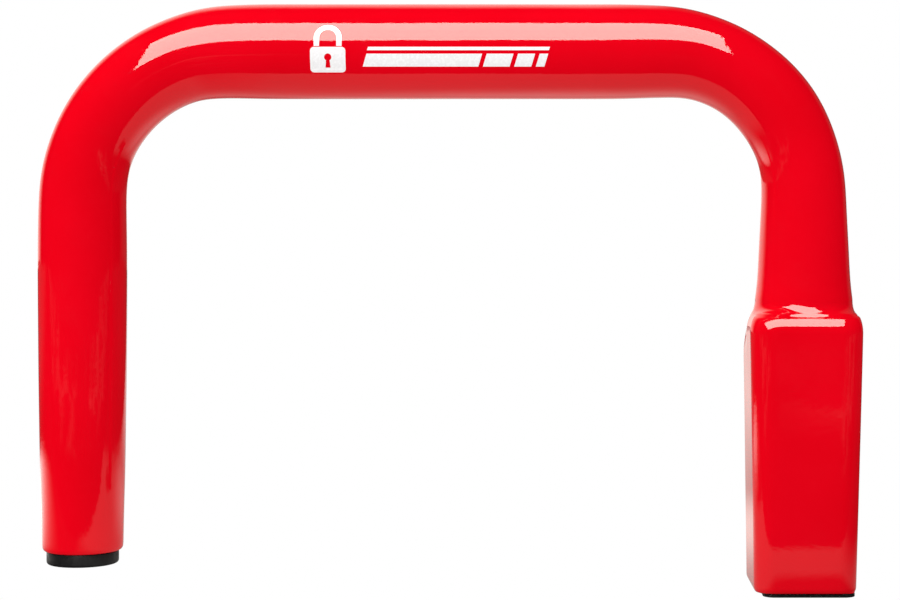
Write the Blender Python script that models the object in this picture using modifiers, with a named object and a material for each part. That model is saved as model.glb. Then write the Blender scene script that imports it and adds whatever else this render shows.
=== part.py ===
"""Steering wheel lock: a vinyl-dipped steel bow with a ratchet rim jaw in the foot of one leg.

The bow stands in the XZ plane. Z = 0 is the sole of the jaw foot, and the front faces -Y.
All lengths are in metres.
"""

import math

import bmesh
import bpy
from mathutils import Matrix, Vector

# ---------------------------------------------------------------- driving dimensions
GAP = 0.0003                    # clearance between neighbouring solids

# bow: one inch round steel tube, bent to a two inch centreline radius
TUBE_RADIUS = 0.0127
TUBE_WALL = 0.0032
BEND_RADIUS = 0.0508
BEND_STEPS = 10
LEFT_X = -0.1305                # plain leg
RIGHT_X = 0.1281                # leg that carries the lock
CROSSBAR_Z = 0.1928
TUBE_LEFT_END_Z = 0.0141
TUBE_RIGHT_END_Z = 0.0720

# lock case: rectangular steel tube, 1.25 by 1.5 inch, 0.120 inch wall
CASE_HALF = 0.015875
CASE_HALF_Y = 0.01905
CASE_WALL = 0.00305
CASE_CORNER = 0.0035
CASE_BOTTOM_Z = 0.0014
CASE_TOP_Z = 0.0920
CAP_PLATE_TOP_Z = 0.0953
WELD_TOP_Z = 0.0990
WELD_REACH = 0.0026

# vinyl coat: radius on the bow, half width, half depth and corner radius on the case
COAT_RIM_LEFT_Z = 0.0139
COAT_LEG_LOW = 0.0148
COAT_LEG_HIGH = 0.0160
COAT_BEND = 0.0150
COAT_BAR = 0.0170
COAT_CASE_LOW = 0.0180
COAT_CASE_HIGH = 0.01995
COAT_CASE_DEEP_LOW = 0.0206
COAT_CASE_DEEP_HIGH = 0.0217
COAT_CORNER_LOW = 0.0066
COAT_CORNER_HIGH = 0.0080
COAT_POINTS_PER_CORNER = 8
# how far the coat on the case hangs to the inside of the bow, at the top and the foot
COAT_SHIFT_HIGH = 0.0005
COAT_SHIFT_LOW = 0.0012

# plastic plug in the end of the plain leg
PLUG_FACE_Z = 0.0092
PLUG_SHANK_LENGTH = 0.022
PLUG_RIBS = 3

# jaw: foot, toothed bar and pad
JAW_TRAVEL = 0.036
FOOT_HALF = 0.0162
FOOT_HALF_Y = 0.0194
FOOT_LIP = 0.0011
FOOT_TOP_Z = 0.0066
BAR_LEFT = -0.0122              # from the leg's axis, towards -X
BAR_RIGHT = -0.0040
BAR_HALF_Y = 0.0140
BAR_TOP_Z = 0.0660
TOOTH_PITCH = 0.0040
TOOTH_DEPTH = 0.0033
NOTCH_HALF = 0.0012
FIRST_NOTCH_Z = 0.0220
NOTCH_COUNT = 11
PAD_THICKNESS = 0.0025
FOOT_SCREW_Y = 0.0080
PAD_HALF_Y = 0.0145

# lock body inside the case
BLOCK_HALF = 0.0125
BLOCK_HALF_Y = 0.0157
BLOCK_BOTTOM_Z = 0.0100
BLOCK_TOP_Z = 0.0620
CHANNEL_RIGHT = -0.0037
CHANNEL_HALF_Y = 0.0143

# key cylinder, on an axis along Y through the back of the case
CYLINDER_X = 0.0044             # from the leg's axis
CYLINDER_Z = 0.0400
SHELL_RADIUS = 0.0065
SHELL_HEAD_RADIUS = 0.0085
SHELL_HEAD_Y = 0.0194
SHELL_FACE_Y = 0.0214
SHELL_INNER_Y = -0.0030
CORE_RADIUS = 0.0050
CORE_HEAD_RADIUS = 0.0062
WAFER_COUNT = 5
WAFER_PITCH = 0.0026
WAFER_FIRST_Y = 0.0158
WAFER_THICKNESS = 0.0010
WAFER_HALF_WIDTH = 0.0025
WAFER_HALF_HEIGHT = 0.0042
KEYWAY_HALF_WIDTH = 0.0009
KEYWAY_HALF_HEIGHT = 0.0034

# cam and bolt: the cam pin swings 45 degrees each side of straight down
CAM_RADIUS = 0.0056
CAM_THICKNESS = 0.0030
CAM_PIN_ORBIT = 0.0040
CAM_PIN_RADIUS = 0.0012
CAM_PIN_LENGTH = 0.0034
CAM_REST_ANGLE = math.radians(45.0)
BOLT_TIP = -0.0012              # withdrawn, from the leg's axis
BOLT_TOOTH_LENGTH = 0.0033
BOLT_TOOTH_HALF = 0.0009
BOLT_BACK = 0.0108
BOLT_BOTTOM_Z = 0.0200
BOLT_TOP_Z = 0.0280
BOLT_FRONT_Y = -0.0110
BOLT_BACK_Y = 0.0095
FORK_BACK_Y = -0.0070
FORK_TOP_Z = 0.0388
FORK_HALF = 0.0036
FORK_SLOT_HALF = 0.00155

# small fixed pieces
FRICTION_Z = 0.0148
FRICTION_RADIUS = 0.0023
PIN_RADIUS = 0.0020
UPPER_PIN_Z = 0.0550
LOWER_PIN_Z = 0.0148
STOP_PIN_RADIUS = 0.0014
STOP_PIN_Y = 0.0126
STOP_PIN_Z = 0.0137

ROUND_STEPS = 32


# ---------------------------------------------------------------- scene and materials
def clear_scene():
    """Remove whatever objects the file holds."""
    for obj in list(bpy.data.objects):
        bpy.data.objects.remove(obj, do_unlink=True)


def new_collection(name):
    """A new collection under the scene's own."""
    collection = bpy.data.collections.new(name)
    bpy.context.scene.collection.children.link(collection)
    return collection


def principled(name, colour, roughness, metallic):
    """A plain Principled BSDF material."""
    material = bpy.data.materials.new(name)
    material.use_nodes = True
    shader = material.node_tree.nodes["Principled BSDF"]
    shader.inputs["Base Color"].default_value = (*colour, 1.0)
    shader.inputs["Roughness"].default_value = roughness
    shader.inputs["Metallic"].default_value = metallic
    return material


def move_to(obj, collection):
    """Keep an object in one collection only."""
    for old in list(obj.users_collection):
        old.objects.unlink(obj)
    collection.objects.link(obj)


def as_part(obj, name, material, parts):
    """Name an object as a sub-part and give it its material."""
    obj.name = name
    obj.data.name = name
    obj.data.materials.clear()
    obj.data.materials.append(material)
    move_to(obj, parts)
    return obj


def as_cutter(obj, cutters):
    """File an object as a cutter that doesn't render."""
    obj.hide_render = True
    obj.display_type = 'WIRE'
    move_to(obj, cutters)
    return obj


# ---------------------------------------------------------------- shapes
def apply_transform(obj):
    """Put an object's location, rotation and scale into its mesh."""
    obj.data.transform(obj.matrix_basis)
    obj.matrix_basis = Matrix.Identity(4)
    return obj


def set_origin(obj, point):
    """Move an object's origin without moving its shape."""
    obj.data.transform(Matrix.Translation(-Vector(point)))
    obj.location = point
    return obj


def box(low, high):
    """A box between two corners."""
    bpy.ops.mesh.primitive_cube_add(size=1.0)
    obj = bpy.context.object
    obj.scale = [b - a for a, b in zip(low, high)]
    obj.location = [(a + b) / 2 for a, b in zip(low, high)]
    return apply_transform(obj)


def rod(start, end, radius, steps=ROUND_STEPS):
    """A round bar from one point to another."""
    start = Vector(start)
    end = Vector(end)
    run = end - start
    bpy.ops.mesh.primitive_cylinder_add(vertices=steps, radius=radius, depth=run.length)
    obj = bpy.context.object
    obj.rotation_mode = 'QUATERNION'
    obj.rotation_quaternion = run.to_track_quat('Z', 'Y')
    obj.location = (start + end) / 2
    return smooth(apply_transform(obj))


def smooth(obj):
    """Smooth shading with sharp edges kept."""
    obj.data.shade_smooth()
    obj.data.set_sharp_from_angle(angle=math.radians(35.0))
    return obj


def mesh_object(name, vertices, faces):
    """An object from a list of points and faces."""
    mesh = bpy.data.meshes.new(name)
    mesh.from_pydata(vertices, [], faces)
    obj = bpy.data.objects.new(name, mesh)
    bpy.context.scene.collection.objects.link(obj)
    return obj


def turned(profile, closed, steps=ROUND_STEPS):
    """A Screw around Z of points (radius, height), from the top down the outer side."""
    points = [(radius, 0.0, height) for radius, height in profile]
    mesh = bpy.data.meshes.new("profile")
    edges = [(i, i + 1) for i in range(len(points) - 1)]
    if closed:
        edges.append((len(points) - 1, 0))
    mesh.from_pydata(points, edges, [])
    obj = bpy.data.objects.new("turned", mesh)
    bpy.context.scene.collection.objects.link(obj)
    screw = obj.modifiers.new("Screw", 'SCREW')
    screw.steps = steps
    screw.render_steps = steps
    screw.use_merge_vertices = True
    screw.merge_threshold = 0.00001
    screw.use_smooth_shade = True
    return obj


def rounded_rectangle(half_x, half_y, corner, per_corner=COAT_POINTS_PER_CORNER):
    """Points round a rectangle with round corners, a circle when both halves equal the corner."""
    points = []
    for quarter in range(4):
        centre_angle = math.radians(45.0 + 90.0 * quarter)
        centre_x = math.copysign(half_x - corner, math.cos(centre_angle))
        centre_y = math.copysign(half_y - corner, math.sin(centre_angle))
        for i in range(per_corner):
            angle = math.radians(90.0) * (quarter + (i + 0.5) / per_corner)
            points.append((centre_x + corner * math.cos(angle), centre_y + corner * math.sin(angle)))
    return points


def slab(outline, low, high, plane):
    """A flat outline filled and extruded from low to high across a plane, XY or XZ."""
    curve = bpy.data.curves.new("outline", 'CURVE')
    curve.dimensions = '2D'
    curve.fill_mode = 'BOTH'
    curve.extrude = (high - low) / 2
    spline = curve.splines.new('POLY')
    spline.points.add(len(outline) - 1)
    for point, (x, y) in zip(spline.points, outline):
        point.co = (x, y, 0.0, 1.0)
    spline.use_cyclic_u = True
    obj = bpy.data.objects.new("slab", curve)
    bpy.context.scene.collection.objects.link(obj)
    middle = (low + high) / 2
    if plane == 'XY':
        obj.location = (0.0, 0.0, middle)
    else:
        obj.rotation_euler = (math.radians(90.0), 0.0, 0.0)
        obj.location = (0.0, middle, 0.0)
    return mesh_from_curve(obj)


def mesh_from_curve(obj):
    """Turn a curve object into a closed mesh object in the same place."""
    bpy.context.view_layer.update()
    evaluated = obj.evaluated_get(bpy.context.evaluated_depsgraph_get())
    mesh = bpy.data.meshes.new_from_object(evaluated)
    work = bmesh.new()
    work.from_mesh(mesh)
    bmesh.ops.remove_doubles(work, verts=work.verts, dist=0.00001)
    bmesh.ops.recalc_face_normals(work, faces=work.faces)
    work.to_mesh(mesh)
    work.free()
    solid = bpy.data.objects.new(obj.name + "_mesh", mesh)
    solid.matrix_world = obj.matrix_world.copy()
    bpy.context.scene.collection.objects.link(solid)
    bpy.data.objects.remove(obj, do_unlink=True)
    return apply_transform(solid)


def swept_bar(points, radius, resolution):
    """A round bar along a path, as a closed mesh."""
    curve = bpy.data.curves.new("path", 'CURVE')
    curve.dimensions = '3D'
    curve.bevel_depth = radius
    curve.bevel_resolution = resolution
    curve.use_fill_caps = True
    spline = curve.splines.new('POLY')
    spline.points.add(len(points) - 1)
    for point, place in zip(spline.points, points):
        point.co = (*place, 1.0)
    obj = bpy.data.objects.new("swept", curve)
    bpy.context.scene.collection.objects.link(obj)
    return smooth(mesh_from_curve(obj))


def boolean(target, other, operation, cutters):
    """Cut or join one object with another."""
    as_cutter(other, cutters)
    modifier = target.modifiers.new(operation.title(), 'BOOLEAN')
    modifier.operation = operation
    modifier.solver = 'EXACT'
    modifier.object = other
    return target


def cut(target, other, cutters):
    """Take one object's shape out of another."""
    return boolean(target, other, 'DIFFERENCE', cutters)


def join(target, other, cutters):
    """Join one object's shape to another."""
    return boolean(target, other, 'UNION', cutters)


def bevel(obj, width, segments=2):
    """Round an object's sharp edges."""
    modifier = obj.modifiers.new("Bevel", 'BEVEL')
    modifier.width = width
    modifier.segments = segments
    modifier.limit_method = 'ANGLE'
    modifier.angle_limit = math.radians(50.0)
    return obj


def along_y(obj, x, z):
    """Lay a turned piece, made along Z, on an axis along Y."""
    obj.rotation_euler = (math.radians(-90.0), 0.0, 0.0)
    obj.location = (x, 0.0, z)
    return obj


# ---------------------------------------------------------------- the bow and its coat
def bow_path(left_end, right_end):
    """Centreline of the bow from the plain leg's end to the other leg's end."""
    points = [(LEFT_X, 0.0, left_end)]
    for side, leg_x in ((-1, LEFT_X), (1, RIGHT_X)):
        centre_x = leg_x - side * BEND_RADIUS
        centre_z = CROSSBAR_Z - BEND_RADIUS
        for i in range(BEND_STEPS + 1):
            angle = math.radians(90.0) * i / BEND_STEPS
            if side > 0:
                angle = math.radians(90.0) - angle
            x = centre_x + side * BEND_RADIUS * math.cos(angle)
            points.append((x, 0.0, centre_z + BEND_RADIUS * math.sin(angle)))
    points.append((RIGHT_X, 0.0, right_end))
    return points


def ease(value, start, end):
    """Smooth step from 0 at start to 1 at end."""
    t = min(max((value - start) / (end - start), 0.0), 1.0)
    return t * t * (3.0 - 2.0 * t)


def coat_radius_on_bend(angle):
    """The coat thins where the bend starts and grows towards the crossbar."""
    start = COAT_LEG_HIGH - (COAT_LEG_HIGH - COAT_BEND) * ease(angle, -25.0, 22.0)
    return start + (COAT_BAR - COAT_BEND) * ease(angle, 22.0, 110.0)


def coat_stations():
    """Sections of the coat: place, direction of travel, half width, half depth and corner radius."""
    stations = []

    def add(x, z, heading, half_x, half_y, corner):
        stations.append(((x, 0.0, z), heading, half_x, half_y, corner))

    up = math.radians(90.0)
    rim = COAT_RIM_LEFT_Z
    for lift, inset in ((0.0, 0.0013), (0.0003, 0.0006), (0.0010, 0.00015), (0.0020, 0.0)):
        radius = COAT_LEG_LOW - inset
        add(LEFT_X, rim + lift, up, radius, radius, radius)
    bend_z = CROSSBAR_Z - BEND_RADIUS
    for share in (0.33, 0.66, 0.85):
        radius = COAT_LEG_LOW + (COAT_LEG_HIGH - COAT_LEG_LOW) * math.sqrt(share)
        add(LEFT_X, rim + share * (bend_z - rim), up, radius, radius, radius)
    for i in range(BEND_STEPS + 1):
        degrees = 90.0 * i / BEND_STEPS
        angle = math.radians(degrees)
        radius = coat_radius_on_bend(degrees)
        x = LEFT_X + BEND_RADIUS * (1.0 - math.cos(angle))
        add(x, bend_z + BEND_RADIUS * math.sin(angle), up - angle, radius, radius, radius)
    for share in (0.12, 0.5, 0.88):
        x = LEFT_X + BEND_RADIUS + share * (RIGHT_X - LEFT_X - 2.0 * BEND_RADIUS)
        add(x, CROSSBAR_Z, 0.0, COAT_BAR, COAT_BAR, COAT_BAR)
    for i in range(BEND_STEPS + 1):
        degrees = 90.0 - 90.0 * i / BEND_STEPS
        angle = math.radians(degrees)
        radius = coat_radius_on_bend(degrees)
        x = RIGHT_X - BEND_RADIUS * (1.0 - math.cos(angle))
        add(x, bend_z + BEND_RADIUS * math.sin(angle), angle - up, radius, radius, radius)
    # the leg flares into the shoulders of the case
    low, high = COAT_CASE_LOW, COAT_CASE_HIGH
    deep_low, deep_high = COAT_CASE_DEEP_LOW, COAT_CASE_DEEP_HIGH
    round_low, round_high = COAT_CORNER_LOW, COAT_CORNER_HIGH
    shoulder = (
        (0.1210, 0.0160, 0.0160, 0.0160),
        (0.1100, 0.0165, 0.0163, 0.0163),
        (0.1045, 0.0171, 0.0164, 0.0162),
        (0.1020, 0.0173, 0.0167, 0.0156),
        (0.1003, 0.0178, 0.0175, 0.0146),
        (0.0990, 0.0184, 0.0186, 0.0132),
        (0.0978, 0.0189, 0.0197, 0.0116),
        (0.0964, 0.0194, 0.0205, 0.0101),
        (0.0946, 0.0198, 0.0213, 0.0088),
        (0.0920, high, deep_high, round_high),
        (0.0450, (high + low) / 2, (deep_high + deep_low) / 2, (round_high + round_low) / 2),
        (0.0040, low, deep_low, round_low),
        (0.0025, low - 0.00015, deep_low - 0.00015, round_low - 0.0004),
        (0.0017, low - 0.0004, deep_low - 0.0004, round_low - 0.0010),
        (CASE_BOTTOM_Z, low - 0.0008, deep_low - 0.0009, round_low - 0.0016),
    )
    for z, half_x, half_y, round_off in shoulder:
        shift = COAT_SHIFT_HIGH * ease(-z, -0.1045, -CASE_TOP_Z)
        shift += (COAT_SHIFT_LOW - COAT_SHIFT_HIGH) * ease(-z, -CASE_TOP_Z, 0.0)
        add(RIGHT_X - shift, z, -up, half_x, half_y, round_off)
    return stations


def coat_solid():
    """Loft the coat's outside, from round sections on the bow to rounded rectangles on the case."""
    vertices = []
    count = 4 * COAT_POINTS_PER_CORNER
    stations = coat_stations()
    for place, heading, half_x, half_y, corner in stations:
        across = Vector((math.sin(heading), 0.0, -math.cos(heading)))
        for x, y in rounded_rectangle(half_x, half_y, corner):
            vertices.append(Vector(place) + across * x + Vector((0.0, y, 0.0)))
    faces = []
    for ring in range(len(stations) - 1):
        for i in range(count):
            j = (i + 1) % count
            a = ring * count
            faces.append((a + i, a + j, a + count + j, a + count + i))
    faces.append(tuple(range(count - 1, -1, -1)))
    last = (len(stations) - 1) * count
    faces.append(tuple(range(last, last + count)))
    obj = mesh_object("coat", vertices, faces)
    work = bmesh.new()
    work.from_mesh(obj.data)
    bmesh.ops.recalc_face_normals(work, faces=work.faces)
    work.to_mesh(obj.data)
    work.free()
    return smooth(obj)


def case_slab(half_x, half_y, corner, low, high):
    """A solid with the case's plan, round its leg's axis."""
    outline = rounded_rectangle(half_x, half_y, corner, per_corner=4)
    obj = slab(outline, low, high, 'XY')
    obj.location.x += RIGHT_X
    return apply_transform(obj)


def build_coat(parts, cutters, material):
    """The dipped vinyl skin, with room for the steel inside it and for the lock's face."""
    coat = as_part(coat_solid(), "vinyl_coat", material, parts)
    bow_room = swept_bar(bow_path(0.0, 0.08), TUBE_RADIUS + GAP, 6)
    cut(coat, bow_room, cutters)
    case_room = case_slab(CASE_HALF + GAP, CASE_HALF_Y + GAP, CASE_CORNER + GAP, -0.002, CAP_PLATE_TOP_Z + GAP)
    cut(coat, case_room, cutters)
    cut(coat, weld_ring(GAP), cutters)
    x = RIGHT_X + CYLINDER_X
    inside = CASE_HALF_Y - 0.002
    head_room = rod((x, inside, CYLINDER_Z), (x, 0.028, CYLINDER_Z), SHELL_HEAD_RADIUS + GAP)
    cut(coat, head_room, cutters)
    for z in (UPPER_PIN_Z, LOWER_PIN_Z):
        cut(coat, rod((x, inside, z), (x, 0.028, z), PIN_RADIUS + 2 * GAP, 16), cutters)


def build_bow_tube(parts, cutters, material):
    """The bent steel tube."""
    tube = as_part(swept_bar(bow_path(TUBE_LEFT_END_Z, TUBE_RIGHT_END_Z), TUBE_RADIUS, 6),
                   "bow_tube", material, parts)
    bore = swept_bar(bow_path(TUBE_LEFT_END_Z - 0.01, TUBE_RIGHT_END_Z - 0.01), TUBE_RADIUS - TUBE_WALL, 6)
    cut(tube, bore, cutters)


def weld_ring(grow):
    """The weld fillet round the tube on the cap plate, grown all round for its own room."""
    inner = TUBE_RADIUS + GAP - 2 * grow
    bottom = CAP_PLATE_TOP_Z + GAP - 2 * grow
    reach = TUBE_RADIUS + GAP + WELD_REACH + grow
    profile = (
        (inner, WELD_TOP_Z + grow),
        (inner + 0.0007 + 2 * grow, WELD_TOP_Z - 0.0003 + grow),
        ((inner + reach) / 2 + grow, (bottom + WELD_TOP_Z) / 2 + 0.0003 + grow),
        (reach, bottom + 0.0006 + 2 * grow),
        (reach, bottom),
        (inner, bottom),
    )
    ring = turned(profile, closed=True)
    ring.location = (RIGHT_X, 0.0, 0.0)
    return ring


def build_case(parts, cutters, steel, weld):
    """The rectangular case, the cap plate on its top and the weld that joins it to the bow."""
    case = case_slab(CASE_HALF, CASE_HALF_Y, CASE_CORNER, CASE_BOTTOM_Z, CASE_TOP_Z)
    as_part(case, "lock_case", steel, parts)
    bore_x = CASE_HALF - CASE_WALL
    bore_y = CASE_HALF_Y - CASE_WALL
    cut(case, case_slab(bore_x, bore_y, 0.0006, -0.002, CASE_TOP_Z + 0.002), cutters)
    x = RIGHT_X + CYLINDER_X
    cut(case, rod((x, 0.0, CYLINDER_Z), (x, 0.025, CYLINDER_Z), SHELL_RADIUS + GAP), cutters)
    for z in (UPPER_PIN_Z, LOWER_PIN_Z):
        cut(case, rod((x, 0.0, z), (x, 0.025, z), PIN_RADIUS + GAP, 16), cutters)

    plate = case_slab(CASE_HALF, CASE_HALF_Y, CASE_CORNER, CASE_TOP_Z + GAP, CAP_PLATE_TOP_Z)
    as_part(plate, "case_cap_plate", steel, parts)
    cut(plate, rod((RIGHT_X, 0.0, 0.08), (RIGHT_X, 0.0, 0.11), TUBE_RADIUS + GAP), cutters)
    as_part(weld_ring(0.0), "weld_fillet", weld, parts)


def build_end_plug(parts, material):
    """The ribbed plastic plug in the plain leg."""
    radius = TUBE_RADIUS - TUBE_WALL - GAP
    head_top = TUBE_LEFT_END_Z - GAP
    top = head_top + PLUG_SHANK_LENGTH
    core = radius - 0.0012
    profile = [(0.0, top), (core - 0.001, top), (core, top - 0.001)]
    for i in range(PLUG_RIBS):
        z = top - PLUG_SHANK_LENGTH * (i + 0.7) / (PLUG_RIBS + 0.6)
        profile += [(core, z + 0.0016), (radius, z), (radius, z - 0.0006), (core, z - 0.0012)]
    profile += [
        (core, head_top),
        (TUBE_RADIUS, head_top),
        (TUBE_RADIUS, PLUG_FACE_Z + 0.0009),
        (TUBE_RADIUS - 0.0003, PLUG_FACE_Z + 0.0003),
        (TUBE_RADIUS - 0.0009, PLUG_FACE_Z),
        (0.0, PLUG_FACE_Z),
    ]
    plug = as_part(turned(profile, closed=False), "end_plug", material, parts)
    plug.location = (LEFT_X, 0.0, 0.0)


# ---------------------------------------------------------------- the jaw
def bar_outline():
    """Side view of the bar, with a notch at every pitch on its right side."""
    left = RIGHT_X + BAR_LEFT
    right = RIGHT_X + BAR_RIGHT
    points = [(left, FOOT_TOP_Z + GAP), (right, FOOT_TOP_Z + GAP)]
    for i in range(NOTCH_COUNT):
        z = FIRST_NOTCH_Z + i * TOOTH_PITCH
        points += [
            (right, z - NOTCH_HALF),
            (right - TOOTH_DEPTH, z - NOTCH_HALF),
            (right - TOOTH_DEPTH, z + NOTCH_HALF),
            (right, z + NOTCH_HALF),
        ]
    points += [(right, BAR_TOP_Z - 0.001), (right - 0.001, BAR_TOP_Z), (left + 0.001, BAR_TOP_Z)]
    points.append((left, BAR_TOP_Z - 0.001))
    return points


def build_jaw(parts, cutters, materials):
    """The toothed bar, its foot, the pad and the two screws."""
    origin = (RIGHT_X, 0.0, 0.0)
    bar = as_part(slab(bar_outline(), -BAR_HALF_Y, BAR_HALF_Y, 'XZ'), "jaw_bar", materials["bar"], parts)
    left = RIGHT_X + BAR_LEFT
    stop_low = STOP_PIN_Z - STOP_PIN_RADIUS - GAP
    stop_high = STOP_PIN_Z + JAW_TRAVEL + STOP_PIN_RADIUS + GAP
    stop_side = STOP_PIN_Y - STOP_PIN_RADIUS - GAP
    cut(bar, box((left - 0.002, stop_side, stop_low), (RIGHT_X, BAR_HALF_Y + 0.002, stop_high)), cutters)

    foot = case_slab(FOOT_HALF, FOOT_HALF_Y, 0.0042, 0.0, FOOT_LIP)
    as_part(foot, "jaw_foot", materials["foot"], parts)
    boss_x = CASE_HALF - CASE_WALL - GAP
    boss_y = CASE_HALF_Y - CASE_WALL - GAP
    join(foot, case_slab(boss_x, boss_y, 0.0010, FOOT_LIP / 2, FOOT_TOP_Z), cutters)

    screw_x = RIGHT_X + (BAR_LEFT + BAR_RIGHT) / 2
    for name, y in (("foot_screw_front", -FOOT_SCREW_Y), ("foot_screw_rear", FOOT_SCREW_Y)):
        screw = as_part(countersunk_screw(0.0015, 0.0034, 0.014), name, materials["screw"], parts)
        screw.location = (screw_x, y, 0.0002)
        cut(screw, hex_socket(screw_x, y, 0.0012), cutters)
        room = countersunk_screw(0.0015 + GAP, 0.0034 + GAP, 0.014 + GAP)
        room.location = (screw_x, y, 0.0)
        cut(foot, room, cutters)
        cut(bar, rod((screw_x, y, 0.0), (screw_x, y, 0.0142 + 2 * GAP), 0.0015 + GAP, 16), cutters)

    pad = box((RIGHT_X + BAR_RIGHT + 0.0010, -PAD_HALF_Y, FOOT_TOP_Z + GAP),
              (RIGHT_X + 0.0115, PAD_HALF_Y, FOOT_TOP_Z + GAP + PAD_THICKNESS))
    pad = as_part(pad, "foot_pad", materials["pad"], parts)
    bevel(pad, 0.0008)
    for piece in (bar, foot, pad):
        set_origin(piece, origin)


def countersunk_screw(shank, head, length):
    """A countersunk screw, head down, with its face at Z = 0."""
    profile = ((0.0, length), (shank - 0.0003, length), (shank, length - 0.0004), (shank, head - shank),
               (head, 0.0), (0.0, 0.0))
    return turned(profile, closed=False, steps=24)


def hex_socket(x, y, depth):
    """A cutter for a screw's hexagon socket, from below."""
    return rod((x, y, -0.001), (x, y, 0.0002 + depth), 0.0012, 6)


# ---------------------------------------------------------------- the lock body
def build_block(parts, cutters, material):
    """The cast body that guides the bar and holds the cylinder and the bolt."""
    block = box((RIGHT_X - BLOCK_HALF, -BLOCK_HALF_Y, BLOCK_BOTTOM_Z),
                (RIGHT_X + BLOCK_HALF, BLOCK_HALF_Y, BLOCK_TOP_Z))
    block = as_part(block, "guide_block", material, parts)
    channel = box((RIGHT_X - 0.02, -CHANNEL_HALF_Y, 0.0), (RIGHT_X + CHANNEL_RIGHT, CHANNEL_HALF_Y, 0.07))
    cut(block, channel, cutters)
    x = RIGHT_X + CYLINDER_X
    cam_end = SHELL_INNER_Y - 2 * GAP - CAM_THICKNESS - GAP
    cut(block, rod((x, cam_end, CYLINDER_Z), (x, 0.02, CYLINDER_Z), SHELL_RADIUS + GAP), cutters)
    side = RIGHT_X + BOLT_BACK + GAP
    bolt_room = box((RIGHT_X - 0.006, -0.02, BOLT_BOTTOM_Z - GAP), (side, BOLT_BACK_Y + GAP, BOLT_TOP_Z + GAP))
    cut(block, bolt_room, cutters)
    fork_left = x - CAM_PIN_ORBIT * math.sin(CAM_REST_ANGLE) - FORK_HALF - GAP
    fork_room = box((fork_left, -0.02, BOLT_TOP_Z - 0.001), (side, cam_end + 0.0001, FORK_TOP_Z + 2 * GAP))
    cut(block, fork_room, cutters)
    friction_room = rod((RIGHT_X - 0.006, 0.0, FRICTION_Z), (RIGHT_X + 0.02, 0.0, FRICTION_Z),
                        FRICTION_RADIUS + GAP, 16)
    cut(block, friction_room, cutters)
    for z, depth in ((UPPER_PIN_Z, 0.0), (LOWER_PIN_Z, 0.0040)):
        cut(block, rod((x, depth - GAP, z), (x, 0.02, z), PIN_RADIUS + GAP, 16), cutters)
    stop_room = rod((RIGHT_X - 0.006, STOP_PIN_Y, STOP_PIN_Z), (RIGHT_X + 0.0011, STOP_PIN_Y, STOP_PIN_Z),
                    STOP_PIN_RADIUS + GAP, 16)
    cut(block, stop_room, cutters)
    cut(block, retainer(GAP), cutters)


def retainer(grow):
    """The sprung retainer that keeps the cylinder in the block."""
    x = RIGHT_X + CYLINDER_X
    low = (x - 0.0015 - grow, 0.0020 - grow, CYLINDER_Z + CORE_RADIUS + 2 * GAP - grow)
    high = (x + 0.0015 + grow, 0.0050 + grow, CYLINDER_Z + SHELL_RADIUS + GAP + 0.0006 + grow)
    return box(low, high)


def build_small_fixed(parts, cutters, materials):
    """The friction plug, its spring and screw, the stop pin and the two block pins."""
    z = FRICTION_Z
    plug = rod((RIGHT_X - 0.0037, 0.0, z), (RIGHT_X + 0.0010, 0.0, z), FRICTION_RADIUS, 16)
    as_part(bevel(plug, 0.0004), "friction_plug", materials["nylon"], parts)
    spring_start = RIGHT_X + 0.0010 + GAP + 0.00035
    turns = 5
    per_turn = 8
    pitch = 0.0010
    coil = []
    for i in range(turns * per_turn + 1):
        angle = 2.0 * math.pi * i / per_turn
        x = spring_start + pitch * i / per_turn
        coil.append((x, 0.0017 * math.cos(angle), z + 0.0017 * math.sin(angle)))
    as_part(swept_bar(coil, 0.00025, 2), "friction_spring", materials["spring"], parts)
    grub_start = coil[-1][0] + 0.00035 + GAP
    grub = rod((grub_start, 0.0, z), (RIGHT_X + 0.0122, 0.0, z), FRICTION_RADIUS, 16)
    as_part(grub, "friction_screw", materials["screw"], parts)
    socket = rod((RIGHT_X + 0.0122 - 0.0018, 0.0, z), (RIGHT_X + 0.014, 0.0, z), 0.0012, 6)
    cut(grub, socket, cutters)

    stop = rod((RIGHT_X + BAR_LEFT + GAP, STOP_PIN_Y, STOP_PIN_Z), (RIGHT_X + 0.0008, STOP_PIN_Y, STOP_PIN_Z),
               STOP_PIN_RADIUS, 16)
    as_part(bevel(stop, 0.0003), "stop_pin", materials["pin"], parts)

    x = RIGHT_X + CYLINDER_X
    for name, z, depth in (("block_pin_upper", UPPER_PIN_Z, 0.0), ("block_pin_lower", LOWER_PIN_Z, 0.0040)):
        pin = rod((x, depth, z), (x, CASE_HALF_Y + 0.0010, z), PIN_RADIUS, 16)
        as_part(bevel(pin, 0.0004), name, materials["pin"], parts)


# ---------------------------------------------------------------- the cylinder, cam and bolt
def build_shell(parts, cutters, materials):
    """The cylinder's fixed shell, with the counterbore that the core's head sits in."""
    bore = CORE_RADIUS + GAP
    counterbore = CORE_HEAD_RADIUS + GAP
    head_seat = SHELL_FACE_Y - 0.0019
    profile = (
        (counterbore, SHELL_FACE_Y),
        (SHELL_HEAD_RADIUS - 0.0006, SHELL_FACE_Y),
        (SHELL_HEAD_RADIUS, SHELL_FACE_Y - 0.0006),
        (SHELL_HEAD_RADIUS, SHELL_HEAD_Y),
        (SHELL_RADIUS, SHELL_HEAD_Y),
        (SHELL_RADIUS, SHELL_INNER_Y),
        (bore, SHELL_INNER_Y),
        (bore, head_seat),
        (counterbore, head_seat),
    )
    shell = along_y(turned(profile, closed=True), RIGHT_X + CYLINDER_X, CYLINDER_Z)
    as_part(shell, "cylinder_shell", materials["shell"], parts)
    cut(shell, retainer(GAP), cutters)
    as_part(retainer(0.0), "cylinder_retainer", materials["spring"], parts)


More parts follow.
